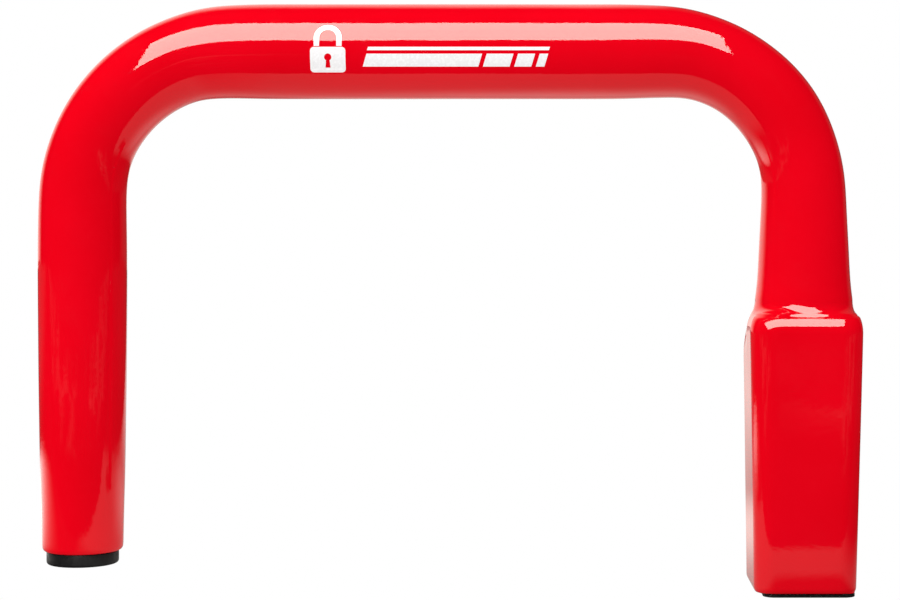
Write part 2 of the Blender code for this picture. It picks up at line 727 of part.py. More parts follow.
def build_core(parts, cutters, materials):
    """The turning core with its keyway, its wafers, the cam and the cam screw."""
    x = RIGHT_X + CYLINDER_X
    z = CYLINDER_Z
    axis_origin = (x, 0.0, z)
    face = SHELL_FACE_Y - 0.0004
    seat = SHELL_FACE_Y - 0.0019 + GAP
    inner = SHELL_INNER_Y - GAP
    profile = (
        (0.0, face),
        (CORE_HEAD_RADIUS - 0.0003, face),
        (CORE_HEAD_RADIUS, face - 0.0003),
        (CORE_HEAD_RADIUS, seat),
        (CORE_RADIUS, seat),
        (CORE_RADIUS, inner),
        (0.0, inner),
    )
    core = along_y(turned(profile, closed=False), x, z)
    as_part(core, "cylinder_core", materials["core"], parts)
    keyway = box((x - KEYWAY_HALF_WIDTH, 0.0012, z - KEYWAY_HALF_HEIGHT),
                 (x + KEYWAY_HALF_WIDTH, face + 0.001, z + KEYWAY_HALF_HEIGHT))
    cut(core, keyway, cutters)
    for i in range(WAFER_COUNT):
        y = WAFER_FIRST_Y - i * WAFER_PITCH
        half = WAFER_THICKNESS / 2
        slot = box((x - WAFER_HALF_WIDTH - GAP, y - half - GAP, z - 0.006),
                   (x + WAFER_HALF_WIDTH + GAP, y + half + GAP, z + 0.006))
        cut(core, slot, cutters)
        wafer = box((x - WAFER_HALF_WIDTH, y - half, z - WAFER_HALF_HEIGHT),
                    (x + WAFER_HALF_WIDTH, y + half, z + WAFER_HALF_HEIGHT))
        as_part(wafer, "wafer_%d" % (i + 1), materials["core"], parts)
        window = box((x - KEYWAY_HALF_WIDTH - GAP, y - 0.002, z - 0.0024),
                     (x + KEYWAY_HALF_WIDTH + GAP, y + 0.002, z + 0.0024))
        cut(wafer, window, cutters)
        set_origin(wafer, axis_origin)

    cam_top = inner - GAP
    cam_bottom = cam_top - CAM_THICKNESS
    cam = rod((x, cam_bottom, z), (x, cam_top, z), CAM_RADIUS)
    as_part(cam, "lock_cam", materials["cam"], parts)
    pin_x = x + CAM_PIN_ORBIT * math.sin(CAM_REST_ANGLE)
    pin_z = z - CAM_PIN_ORBIT * math.cos(CAM_REST_ANGLE)
    join(cam, rod((pin_x, cam_bottom - CAM_PIN_LENGTH, pin_z), (pin_x, cam_bottom + 0.001, pin_z),
                  CAM_PIN_RADIUS, 16), cutters)
    cut(cam, rod((x, -0.02, z), (x, 0.0, z), 0.0013 + GAP, 16), cutters)
    cut(cam, rod((x, -0.02, z), (x, cam_bottom + 0.0018, z), 0.0022 + GAP, 16), cutters)
    set_origin(cam, axis_origin)

    screw_face = cam_bottom + 0.0001
    screw_seat = cam_bottom + 0.0018 - GAP
    screw_end = inner + 0.0038
    cut(core, rod((x, -0.02, z), (x, screw_end + GAP, z), 0.0013 + GAP, 16), cutters)
    profile = ((0.0, screw_end), (0.0013, screw_end), (0.0013, screw_seat), (0.0022, screw_seat),
               (0.0022, screw_face), (0.0, screw_face))
    screw = along_y(turned(profile, closed=False, steps=16), x, z)
    as_part(screw, "cam_screw", materials["screw"], parts)


def build_bolt(parts, cutters, material):
    """The bolt that the cam drives sideways into the bar's notches."""
    tip = RIGHT_X + BOLT_TIP
    root = tip + BOLT_TOOTH_LENGTH
    back = RIGHT_X + BOLT_BACK
    outline = [(root, BOLT_BOTTOM_Z), (back, BOLT_BOTTOM_Z), (back, BOLT_TOP_Z), (root, BOLT_TOP_Z)]
    for i in (1, 0):
        z = FIRST_NOTCH_Z + i * TOOTH_PITCH
        outline += [
            (root, z + BOLT_TOOTH_HALF),
            (tip, z + BOLT_TOOTH_HALF),
            (tip, z - BOLT_TOOTH_HALF),
            (root, z - BOLT_TOOTH_HALF),
        ]
    bolt = as_part(slab(outline, BOLT_FRONT_Y, BOLT_BACK_Y, 'XZ'), "lock_bolt", material, parts)
    pin_x = RIGHT_X + CYLINDER_X + CAM_PIN_ORBIT * math.sin(CAM_REST_ANGLE)
    pin_low = CYLINDER_Z - CAM_PIN_ORBIT - CAM_PIN_RADIUS - GAP
    fork = [
        (pin_x - FORK_HALF, BOLT_TOP_Z - 0.001),
        (pin_x + FORK_HALF - 0.00002, BOLT_TOP_Z - 0.001),
        (pin_x + FORK_HALF - 0.00002, FORK_TOP_Z),
        (pin_x + FORK_SLOT_HALF, FORK_TOP_Z),
        (pin_x + FORK_SLOT_HALF, pin_low),
        (pin_x - FORK_SLOT_HALF, pin_low),
        (pin_x - FORK_SLOT_HALF, FORK_TOP_Z),
        (pin_x - FORK_HALF, FORK_TOP_Z),
    ]
    join(bolt, slab(fork, BOLT_FRONT_Y, FORK_BACK_Y - GAP, 'XZ'), cutters)


def make_materials():
    """One material for each finish."""
    return {
        "vinyl": principled("red_vinyl", (0.78, 0.004, 0.012), 0.12, 0.0),
        "plastic": principled("black_plastic", (0.012, 0.012, 0.013), 0.42, 0.0),
        "foot": principled("black_oxide", (0.02, 0.02, 0.022), 0.38, 0.8),
        "tube": principled("tube_steel", (0.38, 0.38, 0.40), 0.40, 1.0),
        "weld": principled("weld_metal", (0.32, 0.31, 0.30), 0.55, 1.0),
        "bar": principled("hard_steel", (0.45, 0.45, 0.46), 0.28, 1.0),
        "screw": principled("black_screw", (0.03, 0.03, 0.03), 0.35, 0.9),
        "pad": principled("pad_rubber", (0.02, 0.02, 0.02), 0.75, 0.0),
        "block": principled("cast_zinc", (0.50, 0.50, 0.51), 0.45, 1.0),
        "nylon": principled("white_nylon", (0.75, 0.74, 0.70), 0.50, 0.0),
        "spring": principled("spring_steel", (0.50, 0.50, 0.52), 0.30, 1.0),
        "pin": principled("pin_steel", (0.42, 0.42, 0.43), 0.32, 1.0),
        "shell": principled("nickel_plate", (0.66, 0.64, 0.60), 0.20, 1.0),
        "core": principled("brass", (0.72, 0.52, 0.22), 0.25, 1.0),
        "cam": principled("plated_steel", (0.55, 0.53, 0.48), 0.35, 1.0),
    }


def main():
    """Build the whole lock."""
    clear_scene()
    parts = new_collection("steering_wheel_lock")
    cutters = new_collection("cutters")
    materials = make_materials()
    build_bow_tube(parts, cutters, materials["tube"])
    build_case(parts, cutters, materials["tube"], materials["weld"])
    build_coat(parts, cutters, materials["vinyl"])
    build_end_plug(parts, materials["plastic"])
    build_jaw(parts, cutters, materials)
    build_block(parts, cutters, materials["block"])
    build_small_fixed(parts, cutters, materials)
    build_shell(parts, cutters, materials)
    build_core(parts, cutters, materials)
    build_bolt(parts, cutters, materials["bar"])


main()
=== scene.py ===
"""Looks for the steering wheel lock: a dip-coated steel bow with a sliding jaw in one leg.

Lengths are in metres, in the frame of the CAD: the bow stands in the XZ plane, its front faces -Y, and the
jaw's sole is at Z = 0.
"""
import math

import bmesh
import bpy
from mathutils import Matrix, Vector


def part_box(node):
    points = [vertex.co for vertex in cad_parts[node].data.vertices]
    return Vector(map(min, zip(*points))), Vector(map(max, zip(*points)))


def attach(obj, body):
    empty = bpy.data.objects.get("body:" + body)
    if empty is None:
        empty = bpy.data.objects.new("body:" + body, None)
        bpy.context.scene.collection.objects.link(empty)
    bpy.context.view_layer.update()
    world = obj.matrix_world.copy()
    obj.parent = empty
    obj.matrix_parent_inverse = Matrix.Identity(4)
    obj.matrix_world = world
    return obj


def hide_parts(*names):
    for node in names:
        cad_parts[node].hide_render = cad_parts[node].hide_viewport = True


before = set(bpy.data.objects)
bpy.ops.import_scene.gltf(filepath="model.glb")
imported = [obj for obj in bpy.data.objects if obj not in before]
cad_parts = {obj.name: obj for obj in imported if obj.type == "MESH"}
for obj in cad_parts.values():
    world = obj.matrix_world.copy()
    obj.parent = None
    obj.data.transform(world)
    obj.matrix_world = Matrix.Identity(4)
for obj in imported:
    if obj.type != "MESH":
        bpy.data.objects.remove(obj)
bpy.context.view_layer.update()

MM = 0.001
QUARTER = math.radians(90.0)
WELD_DISTANCE = 1e-7

# the bow's centreline, as in the CAD
LEFT_X = -0.1305
RIGHT_X = 0.1281
CROSSBAR_Z = 0.1928
BEND_RADIUS = 0.0508
BEND_Z = CROSSBAR_Z - BEND_RADIUS

# the room inside the coat, as in the CAD
TUBE_ROOM = 0.0130
CASE_ROOM_X = 0.016175
CASE_ROOM_Y = 0.01935
CASE_ROOM_CORNER = 0.0038
CASE_ROOM_TOP = 0.0956
WELD_ROOM_RADIUS = 0.0160
WELD_ROOM_TOP = 0.0994
WELD_ROOM_STEP = 0.0001

# the coat's rims and its section on the case, at the case's top (HIGH) and foot (LOW)
RIM_LEFT_Z = 0.0139
RIM_CASE_Z = 0.0014
RIM_ROUND = 0.0018
RIM_STEPS = 6
RIM_TUCK_LEFT = 0.75            # how far a rim turns in, as a share of its height
RIM_TUCK_CASE = 0.5
CASE_X_HIGH = 0.0199
CASE_X_LOW = 0.0180
CASE_Y_HIGH = 0.0216
CASE_Y_LOW = 0.0206
CASE_LEAN_HIGH = 0.0005         # how far the section's middle is off the case's, to the inside
CASE_LEAN_LOW = 0.0012
CORNER_HIGH = 0.0080
CORNER_LOW = 0.0066
CORNER_TUCK = 1.6               # a corner's radius shrinks faster than the section does at the rim
BACK_FACE_Y = 0.0190            # everything on the back face lies behind this

# the coat's shoulder, between the leg and the case
SHOULDER_TOP = 0.1039
SHOULDER_TURN = 0.0984          # where the concave fillet turns into the convex edge
SHOULDER_LOW = 0.0923
SHOULDER_RISE = 0.0053
SHOULDER_CONVEX = 0.0077
SHOULDER_CONCAVE = 0.0069
SHOULDER_SQUARED = (0.02, 0.58)  # shares of the shoulder between which the section turns rectangular
BACK_SLOPE_TOP = 0.1015         # the shoulder's slope is longer on the back half
BACK_SLOPE_LOW = 0.0840
BACK_SLOPE_TURN = 0.45          # sine of the angle at which the back's slope is full
SHOULDER_STEP = 0.0005
SHOULDER_STEPS = 29
CASE_STEP_TOP = 0.0885
CASE_STEP = 0.0025
CASE_STEPS = 35

# the coat along the bow, by the distance from the plain leg's rim
LEG_RUN = BEND_Z - RIM_LEFT_Z
BEND_RUN = QUARTER * BEND_RADIUS
BAR_RUN = RIGHT_X - LEFT_X - 2.0 * BEND_RADIUS
FIRST_BEND = LEG_RUN
SECOND_BEND = LEG_RUN + BEND_RUN + BAR_RUN
BOW_RUN = SECOND_BEND + BEND_RUN + BEND_Z - SHOULDER_TOP
BEND_RAMP = 0.018               # a bend's curvature builds up over this run
FIRST_BEND_SAG = 0.0011         # how far the coat hangs to the inside of the first bend
SAG_OVERRUN = 0.012
BAR_DROP = 0.00040
BAR_CENTRE_Z = CROSSBAR_Z - 0.00015     # the middle of the coat where the print lies
BOW_STEPS = 390
STEP_PARTS = 4                  # the path is summed in finer steps than it is drawn
FIRST_STATION_GAP = 0.0005
RADIUS_SMOOTHINGS = 60
RING_POINTS = 128
RING_CROWDING = 0.14
ROOM_CASE_STEPS = 12
ROOM_BEND_STEPS = 18
ROOM_LEG_STEPS = 6
DIP_WAVE = 0.00003              # the dip's unevenness, on a section of the radius below
DIP_WAVE_RADIUS = 0.016

BAR_RADIUS_MM = 17.0
COAT_RADII_MM = (
    (0.000, 14.2),
    (0.011, 14.45),
    (0.036, 15.05),
    (0.071, 15.5),
    (0.106, 15.7),
    (FIRST_BEND, 15.4),
    (FIRST_BEND + 0.018, 14.95),
    (FIRST_BEND + 0.040, 15.15),
    (FIRST_BEND + 0.062, 15.6),
    (FIRST_BEND + BEND_RUN, 16.6),
    (FIRST_BEND + BEND_RUN + 0.020, BAR_RADIUS_MM),
    (SECOND_BEND - 0.020, BAR_RADIUS_MM),
    (SECOND_BEND, 16.5),
    (SECOND_BEND + 0.018, 15.4),
    (SECOND_BEND + 0.034, 15.0),
    (SECOND_BEND + 0.046, 15.0),
    (SECOND_BEND + 0.064, 14.7),
    (SECOND_BEND + BEND_RUN, 15.1),
    (BOW_RUN - 0.0171, 16.1),
    (BOW_RUN - 0.0081, 16.55),
    (BOW_RUN - 0.0031, 17.0),
    (BOW_RUN, 17.4),
)

# the holes in the back of the case
CYLINDER_X = RIGHT_X + 0.0044
CYLINDER_Z = 0.0400
CYLINDER_HOLE = (0.0088, 0.0007)    # radius, and radius of the rolled edge
PIN_HEIGHTS = (0.0550, 0.0148)
PIN_HOLE = (0.0026, 0.0005)
HOLE_REACH = 0.0040
HOLE_ROLL = math.radians(85.0)
HOLE_ROLL_STEPS = 8
HOLE_FLARE = 1.4
HOLE_SIDES = 64

# the plain leg's plug: its ribbed shank, its head and the dish in the head's face
PLUG_SHANK = 0.0076
PLUG_TIP = 0.0008
PLUG_RIB = 0.0092
PLUG_RIBS = 3
PLUG_RIB_FIRST = 0.0050
PLUG_RIB_PITCH = 0.0061
PLUG_RIB_SHAPE = (0.0016, 0.0006, 0.0012)   # above the rib's edge, its flat, and below the edge
PLUG_GAP = 0.0001
PLUG_CORNER = 0.0003
PLUG_EDGE = 0.0011
PLUG_DISH = 0.0082
PLUG_DISH_EDGE = 0.0005
PLUG_DISH_FLAT = 0.0006
PLUG_DISH_FLOOR = ((0.0075, 0.0006), (0.0020, 0.0007), (0.0014, 0.0004), (0.0, 0.0004))

# the jaw's rubber pad
PAD_LANDS = 7
PAD_MARGIN = 0.0008
PAD_EDGE = 0.0006
PAD_GROOVE = 0.0007
PAD_ROUND = 0.0003

# the printed emblem: places along the bar from X = 0, and round it from the middle of its front
INK_RISE = 0.00009
INK_THICKNESS = 0.00020
INK_STRIP = 0.0007
EMBLEM_UP = -0.0028
PADLOCK_X = -0.0408
PADLOCK_BODY = (0.0062, 0.0046, 0.0014)     # half width, half height, corner radius
PADLOCK_BODY_DOWN = 0.0016
KEYHOLE_RADIUS = 0.0013
KEYHOLE_DOWN = 0.0006
KEYHOLE_HALF_SLOT = 0.0009
KEYHOLE_FOOT = 0.0044
SHACKLE_RADII = (0.0049, 0.0030)
SHACKLE_TOP = 0.0062
SHACKLE_FOOT = 0.0033
STRIPES = {
    "print_stripe_a": (-0.0286, 0.0120),
    "print_stripe_b": (0.0136, 0.0230),
    "print_stripe_c": (0.0246, 0.0306),
    "print_stripe_d": (0.0322, 0.0352),
}
STRIPE_SPAN = (-0.0040, 0.0006, 0.0014)     # low, high, and how far the top leans
LINE_ENDS = (-0.0270, 0.0368)
LINE_SPAN = (0.0018, 0.0030, 0.0004)

# the small bevel on CAD pieces that show
BREAK_WIDTH = 0.00018
BREAK_ANGLE = math.radians(48.0)

# A fade is (start, end, level at the start, level at the end), along one axis or from a point.

# the floor that diffuse rays see, as a fade from the case's foot: a painted shadow, dimmer near the foot
FLOOR_HALF = 6.0
FLOOR_DROP = 0.0002
FLOOR_BOUNCE_PAINTED_SHADOW = ((RIGHT_X, 0.0, 0.0), 0.02, 0.16, 0.45, 0.86)

# the floor that glossy rays see
FLOOR_TINT = (1.0, 0.97, 0.90)
FLOOR_FRONT = (-0.131, -0.117, 0.005, 0.50)
FLOOR_FRONT_LEFT = (-0.150, -0.080, 0.06, 1.0)
FLOOR_BACK = (0.05, 0.9, 0.0, 0.45)
FLOOR_LEFT = (-0.60, -0.24, 0.22, 1.0)
FLOOR_RIGHT = (0.13, 0.27, 1.0, 0.04)
# a painted contact shadow: the floor light the gloss shows dims round the case's foot
FLOOR_CONTACT_SHADOW = ((RIGHT_X + 0.006, -0.035, 0.0), 0.018, 0.042, 0.10, 1.0)
# painted pools of light on the floor, seen in the gloss
FLOOR_LIGHT_POOLS = (
    ((-0.34, 0.18, 0.0), 0.06, 0.28, 2.2, 0.0),
    ((0.06, 0.15, 0.0), 0.02, 0.15, 0.55, 0.0),
)
PATCH_NOISE = (4.2, 5.0, 0.62)
PATCH_LIGHT = (0.44, 0.66, 0.0, 0.30)
PATCH_MIDDLE = 0.03
PATCH_BESIDE = (0.014, 0.040, 0.0, 1.0)     # by the square of the distance from the middle
PATCH_NEAR = (-0.38, -0.26, 1.0, 0.0)
PATCH_FAR = (-1.15, -0.75, 0.0, 1.0)

# the world: soft light for diffuse rays, and a wall behind for glossy rays
WORLD_LEVEL = 0.88
WORLD_TOWARDS = (-0.38, -0.22, 0.20)
WALL_BACK = (0.48, 0.78, 0.0, 1.2)
WALL_SIDE = (0.0, 0.125, 1.0, 0.08)
WALL_TINT = (1.0, 0.88, 0.80)

# the softbox over the bow: a tilted card, by the X and Y of its corners
SOFTBOX_DISTANCE = 0.9
SOFTBOX_TILT = math.radians(14.0)
SOFTBOX_LIGHT = 11.5
SOFTBOX_TINT = (1.0, 0.985, 0.90, 1.0)
SOFTBOX_CORNERS = ((-0.708, -0.372), (0.510, -0.318), (0.570, -1.19), (-0.87, -1.62))

# the lamp for the front, which the gloss doesn't show
LAMP_PLACE = (-0.35, -0.7, 1.3)
LAMP_AIM = (0.0, 0.0, 0.12)
LAMP_SIZE = 0.9
LAMP_RADIANCE = 2.3

CAMERA_PLACE = (0.0407, -0.750, 0.1286)
CAMERA_LENS = 83.6
CAMERA_SENSOR = 36.0
CAMERA_SHIFT = (-0.1222, -0.0778)


# ---------------------------------------------------------------- node materials
class Nodes:
    """Short names for adding nodes to a node tree."""

    def __init__(self, tree):
        self.tree = tree

    def add(self, kind, **settings):
        node = self.tree.nodes.new(kind)
        for key, value in settings.items():
            setattr(node, key, value)
        return node

    def put(self, socket, value):
        """Link a node's output to a socket, or set the socket to a plain value."""
        if isinstance(value, bpy.types.NodeSocket):
            self.tree.links.new(value, socket)
        elif isinstance(value, tuple) and socket.type == 'RGBA':
            socket.default_value = (*value, 1.0)
        else:
            socket.default_value = value

    def put_all(self, node, **values):
        """Fill a node's sockets by name, with _ for a space."""
        for name, value in values.items():
            self.put(node.inputs[name.replace("_", " ")], value)

    def math(self, operation, a, b):
        node = self.add("ShaderNodeMath", operation=operation)
        self.put(node.inputs[0], a)
        self.put(node.inputs[1], b)
        return node.outputs["Value"]

    def times(self, *factors):
        product = factors[0]
        for factor in factors[1:]:
            product = self.math('MULTIPLY', product, factor)
        return product

    def mix(self, share, a, b, kind='RGBA'):
        """Mix two colours by a share, or two numbers where kind is FLOAT."""
        node = self.add("ShaderNodeMix", data_type=kind)
        self.put_all(node, Factor=share, A=a, B=b)
        return node.outputs["Result"]

    def span(self, value, low, high, start=0.0, end=1.0, kind='LINEAR'):
        """Map a value from start..end to low..high."""
        node = self.add("ShaderNodeMapRange", interpolation_type=kind)
        self.put_all(node, From_Min=start, From_Max=end, To_Min=low, To_Max=high, Value=value)
        return node.outputs["Result"]

    def eased(self, value, start, end, first, last):
        """A value that goes smoothly from first to last while the input goes from start to end."""
        return self.span(value, first, last, start, end, 'SMOOTHSTEP')

    def noise(self, scale, detail=3.0, rough=0.55, distort=0.0, place=None):
        node = self.add("ShaderNodeTexNoise")
        self.put_all(node, Scale=scale, Detail=detail, Roughness=rough, Distortion=distort)
        self.put(node.inputs["Vector"], place or self.place)
        return node.outputs["Fac"]


class Shader(Nodes):
    """A Principled material on the object's own coordinates."""

    def __init__(self, name, metallic=0.0, **sockets):
        self.material = bpy.data.materials.new(name)
        self.material.use_nodes = True
        super().__init__(self.material.node_tree)
        self.shader = self.tree.nodes["Principled BSDF"]
        self.put_all(self.shader, Metallic=metallic, **sockets)
        self.place = self.add("ShaderNodeTexCoord").outputs["Object"]

    def stretched(self, scale):
        """The object's coordinates scaled unevenly, for grain that runs one way."""
        node = self.add("ShaderNodeMapping")
        self.put_all(node, Scale=scale, Vector=self.place)
        return node.outputs["Vector"]

    def voronoi(self, scale):
        node = self.add("ShaderNodeTexVoronoi")
        self.put_all(node, Scale=scale, Vector=self.place)
        return node.outputs["Distance"]

    def ramp(self, value, *stops):
        """A colour ramp of (position, colour) stops."""
        node = self.add("ShaderNodeValToRGB")
        elements = node.color_ramp.elements
        while len(elements) < len(stops):
            elements.new(0.5)
        for element, (position, colour) in zip(elements, stops):
            element.position = position
            element.color = (*colour, 1.0)
        self.put(node.inputs["Fac"], value)
        return node.outputs["Color"]

    def bump(self, height, distance, strength=1.0, under=None):
        node = self.add("ShaderNodeBump")
        self.put_all(node, Distance=distance, Strength=strength, Height=height)
        if under:
            self.put(node.inputs["Normal"], under)
        return node.outputs["Normal"]

    def finish(self, colour, roughness, normal):
        self.put_all(self.shader, Base_Color=colour, Roughness=roughness, Normal=normal)
        return self.material


def red_vinyl():
    """Glossy dipped vinyl: deep red, faint clouding, soft orange peel and a few smudges."""
    s = Shader("red_vinyl", IOR=1.5)
    cloud = s.noise(26.0, 3.0)
    colour = s.ramp(cloud, (0.30, (0.76, 0.0004, 0.0075)), (0.70, (0.81, 0.0007, 0.0095)))
    smudge = s.noise(48.0, 5.0, 0.6, 0.8)
    roughness = s.span(smudge, 0.035, 0.11, 0.55, 0.85)
    sag = s.bump(s.noise(34.0, 1.0), 0.0006, 0.5)
    peel = s.bump(s.noise(420.0, 2.0), 0.00005, 0.35, sag)
    return s.finish(colour, roughness, peel)


def black_plastic():
    """Moulded polyethylene: near black, satin, with a fine spark-eroded grain."""
    s = Shader("black_plastic", IOR=1.4)
    colour = s.ramp(s.noise(160.0, 4.0), (0.35, (0.0045, 0.0045, 0.005)), (0.75, (0.010, 0.010, 0.011)))
    roughness = s.span(s.noise(700.0, 3.0), 0.34, 0.52, 0.3, 0.7)
    grain = s.bump(s.noise(2600.0, 2.0), 0.00004, 0.5)
    return s.finish(colour, roughness, s.bump(s.noise(150.0, 2.0), 0.0001, 0.3, grain))


def black_oxide(name="black_oxide", wear=0.66):
    """Blackened steel, rubbed to bare metal in small scratches."""
    s = Shader(name, metallic=0.85)
    rub = s.noise(1.0, 5.0, 0.7, 0.4, s.stretched((420.0, 60.0, 420.0)))
    patch = s.noise(120.0, 3.0)
    bare = s.math('MULTIPLY', s.span(rub, 0.0, 1.0, wear, wear + 0.10), s.span(patch, 0.0, 1.0, 0.45, 0.65))
    black = s.ramp(s.noise(300.0, 4.0), (0.3, (0.016, 0.016, 0.018)), (0.7, (0.034, 0.033, 0.034)))
    colour = s.mix(bare, black, (0.22, 0.21, 0.20))
    roughness = s.span(s.noise(520.0, 4.0), 0.30, 0.50, 0.3, 0.7)
    return s.finish(colour, roughness, s.bump(s.noise(1500.0, 3.0), 0.00003, 0.6))


def steel(name, dark, light, rough, grain, depth, streak=0.0):
    """Metal with grain that runs along one direction, stains and an uneven polish."""
    s = Shader(name, metallic=1.0)
    line = s.noise(1.0, 4.0, 0.65, streak, s.stretched(grain))
    stain = s.noise(90.0, 5.0, 0.6)
    both = s.math('MULTIPLY', s.math('ADD', line, stain), 0.5)
    colour = s.ramp(both, (0.32, dark), (0.66, light))
    roughness = s.span(both, rough[0], rough[1], 0.35, 0.65)
    fine = s.bump(line, depth, 0.5)
    return s.finish(colour, roughness, s.bump(stain, depth * 4.0, 0.2, fine))


def weld_metal():
    """A weld bead: ripples round the tube, with heat tint."""
    s = Shader("weld_metal", metallic=1.0)
    ripple = s.voronoi(420.0)
    colour = s.ramp(s.noise(130.0, 4.0), (0.3, (0.20, 0.17, 0.15)), (0.5, (0.30, 0.27, 0.22)),
                    (0.7, (0.24, 0.25, 0.31)))
    roughness = s.span(s.noise(300.0, 3.0), 0.38, 0.62, 0.3, 0.7)
    return s.finish(colour, roughness, s.bump(ripple, 0.0004, 0.7))


def cast_zinc():
    """Die-cast zinc: dull skin, flow marks and fine pits."""
    s = Shader("cast_zinc", metallic=0.9)
    flow = s.noise(70.0, 6.0, 0.6, 1.6)
    colour = s.ramp(flow, (0.3, (0.34, 0.34, 0.35)), (0.7, (0.50, 0.50, 0.50)))
    roughness = s.span(flow, 0.40, 0.60, 0.3, 0.7)
    pits = s.span(s.voronoi(900.0), 0.0, 1.0, 0.05, 0.30)
    skin = s.bump(s.noise(800.0, 4.0), 0.00006, 0.5)
    return s.finish(colour, roughness, s.bump(pits, 0.00005, 0.4, skin))


def pad_rubber():
    """Nitrile rubber with a talc bloom and a matt skin."""
    s = Shader("pad_rubber", IOR=1.5)
    bloom = s.noise(240.0, 6.0, 0.65)
    colour = s.ramp(bloom, (0.40, (0.014, 0.014, 0.014)), (0.80, (0.050, 0.049, 0.047)))
    roughness = s.span(bloom, 0.62, 0.85, 0.3, 0.8)
    return s.finish(colour, roughness, s.bump(s.noise(1800.0, 4.0), 0.00006, 0.7))


def white_nylon():
    """Natural nylon, slightly waxy and yellowed."""
    s = Shader("white_nylon", IOR=1.53, Subsurface_Weight=0.15, Subsurface_Scale=0.001)
    tone = s.noise(220.0, 3.0)
    colour = s.ramp(tone, (0.3, (0.62, 0.60, 0.53)), (0.7, (0.74, 0.73, 0.68)))
    roughness = s.span(tone, 0.38, 0.55, 0.3, 0.7)
    return s.finish(colour, roughness, s.bump(s.noise(1200.0, 3.0), 0.00004, 0.5))


def white_ink():
    """Pad-printed white ink: a little patchy, with a soft edge sheen."""
    s = Shader("white_ink", IOR=1.5)
    patchy = s.noise(900.0, 4.0, 0.6)
    colour = s.ramp(patchy, (0.25, (0.90, 0.88, 0.88)), (0.60, (0.96, 0.955, 0.955)))
    roughness = s.span(patchy, 0.20, 0.32, 0.3, 0.7)
    return s.finish(colour, roughness, s.bump(patchy, 0.00001, 0.5))


MATERIALS = {
    "red_vinyl": red_vinyl(),
    "black_plastic": black_plastic(),
    "black_oxide": black_oxide(),
    "black_screw": black_oxide("black_screw", 0.60),
    "tube_steel": steel("tube_steel", (0.26, 0.26, 0.27), (0.42, 0.41, 0.41), (0.30, 0.52),
                        (60, 60, 500), 0.00002),
    "weld_metal": weld_metal(),
    "hard_steel": steel("hard_steel", (0.34, 0.34, 0.35), (0.56, 0.55, 0.55), (0.20, 0.38),
                        (900, 90, 90), 0.000015, 0.2),
    "pad_rubber": pad_rubber(),
    "cast_zinc": cast_zinc(),
    "white_nylon": white_nylon(),
    "spring_steel": steel("spring_steel", (0.30, 0.29, 0.29), (0.52, 0.52, 0.54), (0.22, 0.40),
                          (300, 900, 300), 0.00001),
    "pin_steel": steel("pin_steel", (0.38, 0.38, 0.39), (0.58, 0.57, 0.57), (0.22, 0.40),
                       (1400, 200, 1400), 0.000012, 0.3),
    "nickel_plate": steel("nickel_plate", (0.56, 0.54, 0.50), (0.74, 0.72, 0.68), (0.12, 0.26),
                          (500, 500, 500), 0.000008, 0.5),
    "brass": steel("brass", (0.52, 0.34, 0.12), (0.78, 0.58, 0.26), (0.20, 0.36),
                   (700, 200, 700), 0.00001, 0.6),
    "plated_steel": steel("plated_steel", (0.44, 0.40, 0.30), (0.64, 0.60, 0.46), (0.26, 0.42),
                          (400, 400, 400), 0.00001, 0.8),
    "white_ink": white_ink(),
}


# ---------------------------------------------------------------- shapes
def ease(value, start, end):
    """Smooth step from 0 at start to 1 at end."""
    t = min(max((value - start) / (end - start), 0.0), 1.0)
    return t * t * (3.0 - 2.0 * t)


def between(start, end, share):
    return start + (end - start) * share


def smooth_table(table, at):
    """Monotone cubic through (place, value) points in rising order of place."""
    places = [p for p, _ in table]
    values = [v for _, v in table]
    if at <= places[0]:
        return values[0]
    if at >= places[-1]:
        return values[-1]
    steps = [(values[i + 1] - values[i]) / (places[i + 1] - places[i]) for i in range(len(table) - 1)]
    slopes = [steps[0]]
    for a, b in zip(steps, steps[1:]):
        slopes.append(0.0 if a * b <= 0.0 else 2.0 * a * b / (a + b))
    slopes.append(steps[-1])
    i = max(k for k, p in enumerate(places[:-1]) if p <= at)
    width = places[i + 1] - places[i]
    t = (at - places[i]) / width
    first = (2 * t ** 3 - 3 * t ** 2 + 1) * values[i] + (t ** 3 - 2 * t ** 2 + t) * width * slopes[i]
    return first + (3 * t ** 2 - 2 * t ** 3) * values[i + 1] + (t ** 3 - t ** 2) * width * slopes[i + 1]


def add_object(name, data):
    obj = bpy.data.objects.new(name, data)
    bpy.context.scene.collection.objects.link(obj)
    return obj


def from_faces(name, points, faces):
    """A mesh object with its normals facing out."""
    mesh = bpy.data.meshes.new(name)
    mesh.from_pydata([tuple(p) for p in points], [], faces)
    work = bmesh.new()
    work.from_mesh(mesh)
    bmesh.ops.remove_doubles(work, verts=work.verts, dist=WELD_DISTANCE)
    bmesh.ops.recalc_face_normals(work, faces=work.faces)
    work.to_mesh(mesh)
    work.free()
    return add_object(name, mesh)


def loft(rings, closed):
    """Faces between rings of equal length: a closed loop of rings, or a row with both ends filled."""
    count = len(rings[0])
    points = [p for ring in rings for p in ring]
    faces = []
    pairs = len(rings) if closed else len(rings) - 1
    for r in range(pairs):
        a = r * count
        b = ((r + 1) % len(rings)) * count
        for i in range(count):
            j = (i + 1) % count
            faces.append((a + i, a + j, b + j, b + i))
    if not closed:
        faces.append(tuple(range(count)))
        faces.append(tuple(range(pairs * count, (pairs + 1) * count)))
    return points, faces


def shade(obj, angle=32.0):
    """Smooth shading, with the edges over an angle in degrees kept sharp."""
    obj.data.shade_smooth()
    obj.data.set_sharp_from_angle(angle=math.radians(angle))
    return obj


def turned(name, profile, steps, place):
    """A solid of revolution round Z from (radius, height) points; a radius of 0 closes it."""
    rings = [[Vector((r * math.cos(a), r * math.sin(a), h)) for a in
              (2.0 * math.pi * i / steps for i in range(steps))] for r, h in profile if r > 0.0]
    is_ring = all(r > 0.0 for r, _ in profile)
    points, faces = loft(rings, is_ring)
    return shade(from_faces(name, [place @ p for p in points], faces))


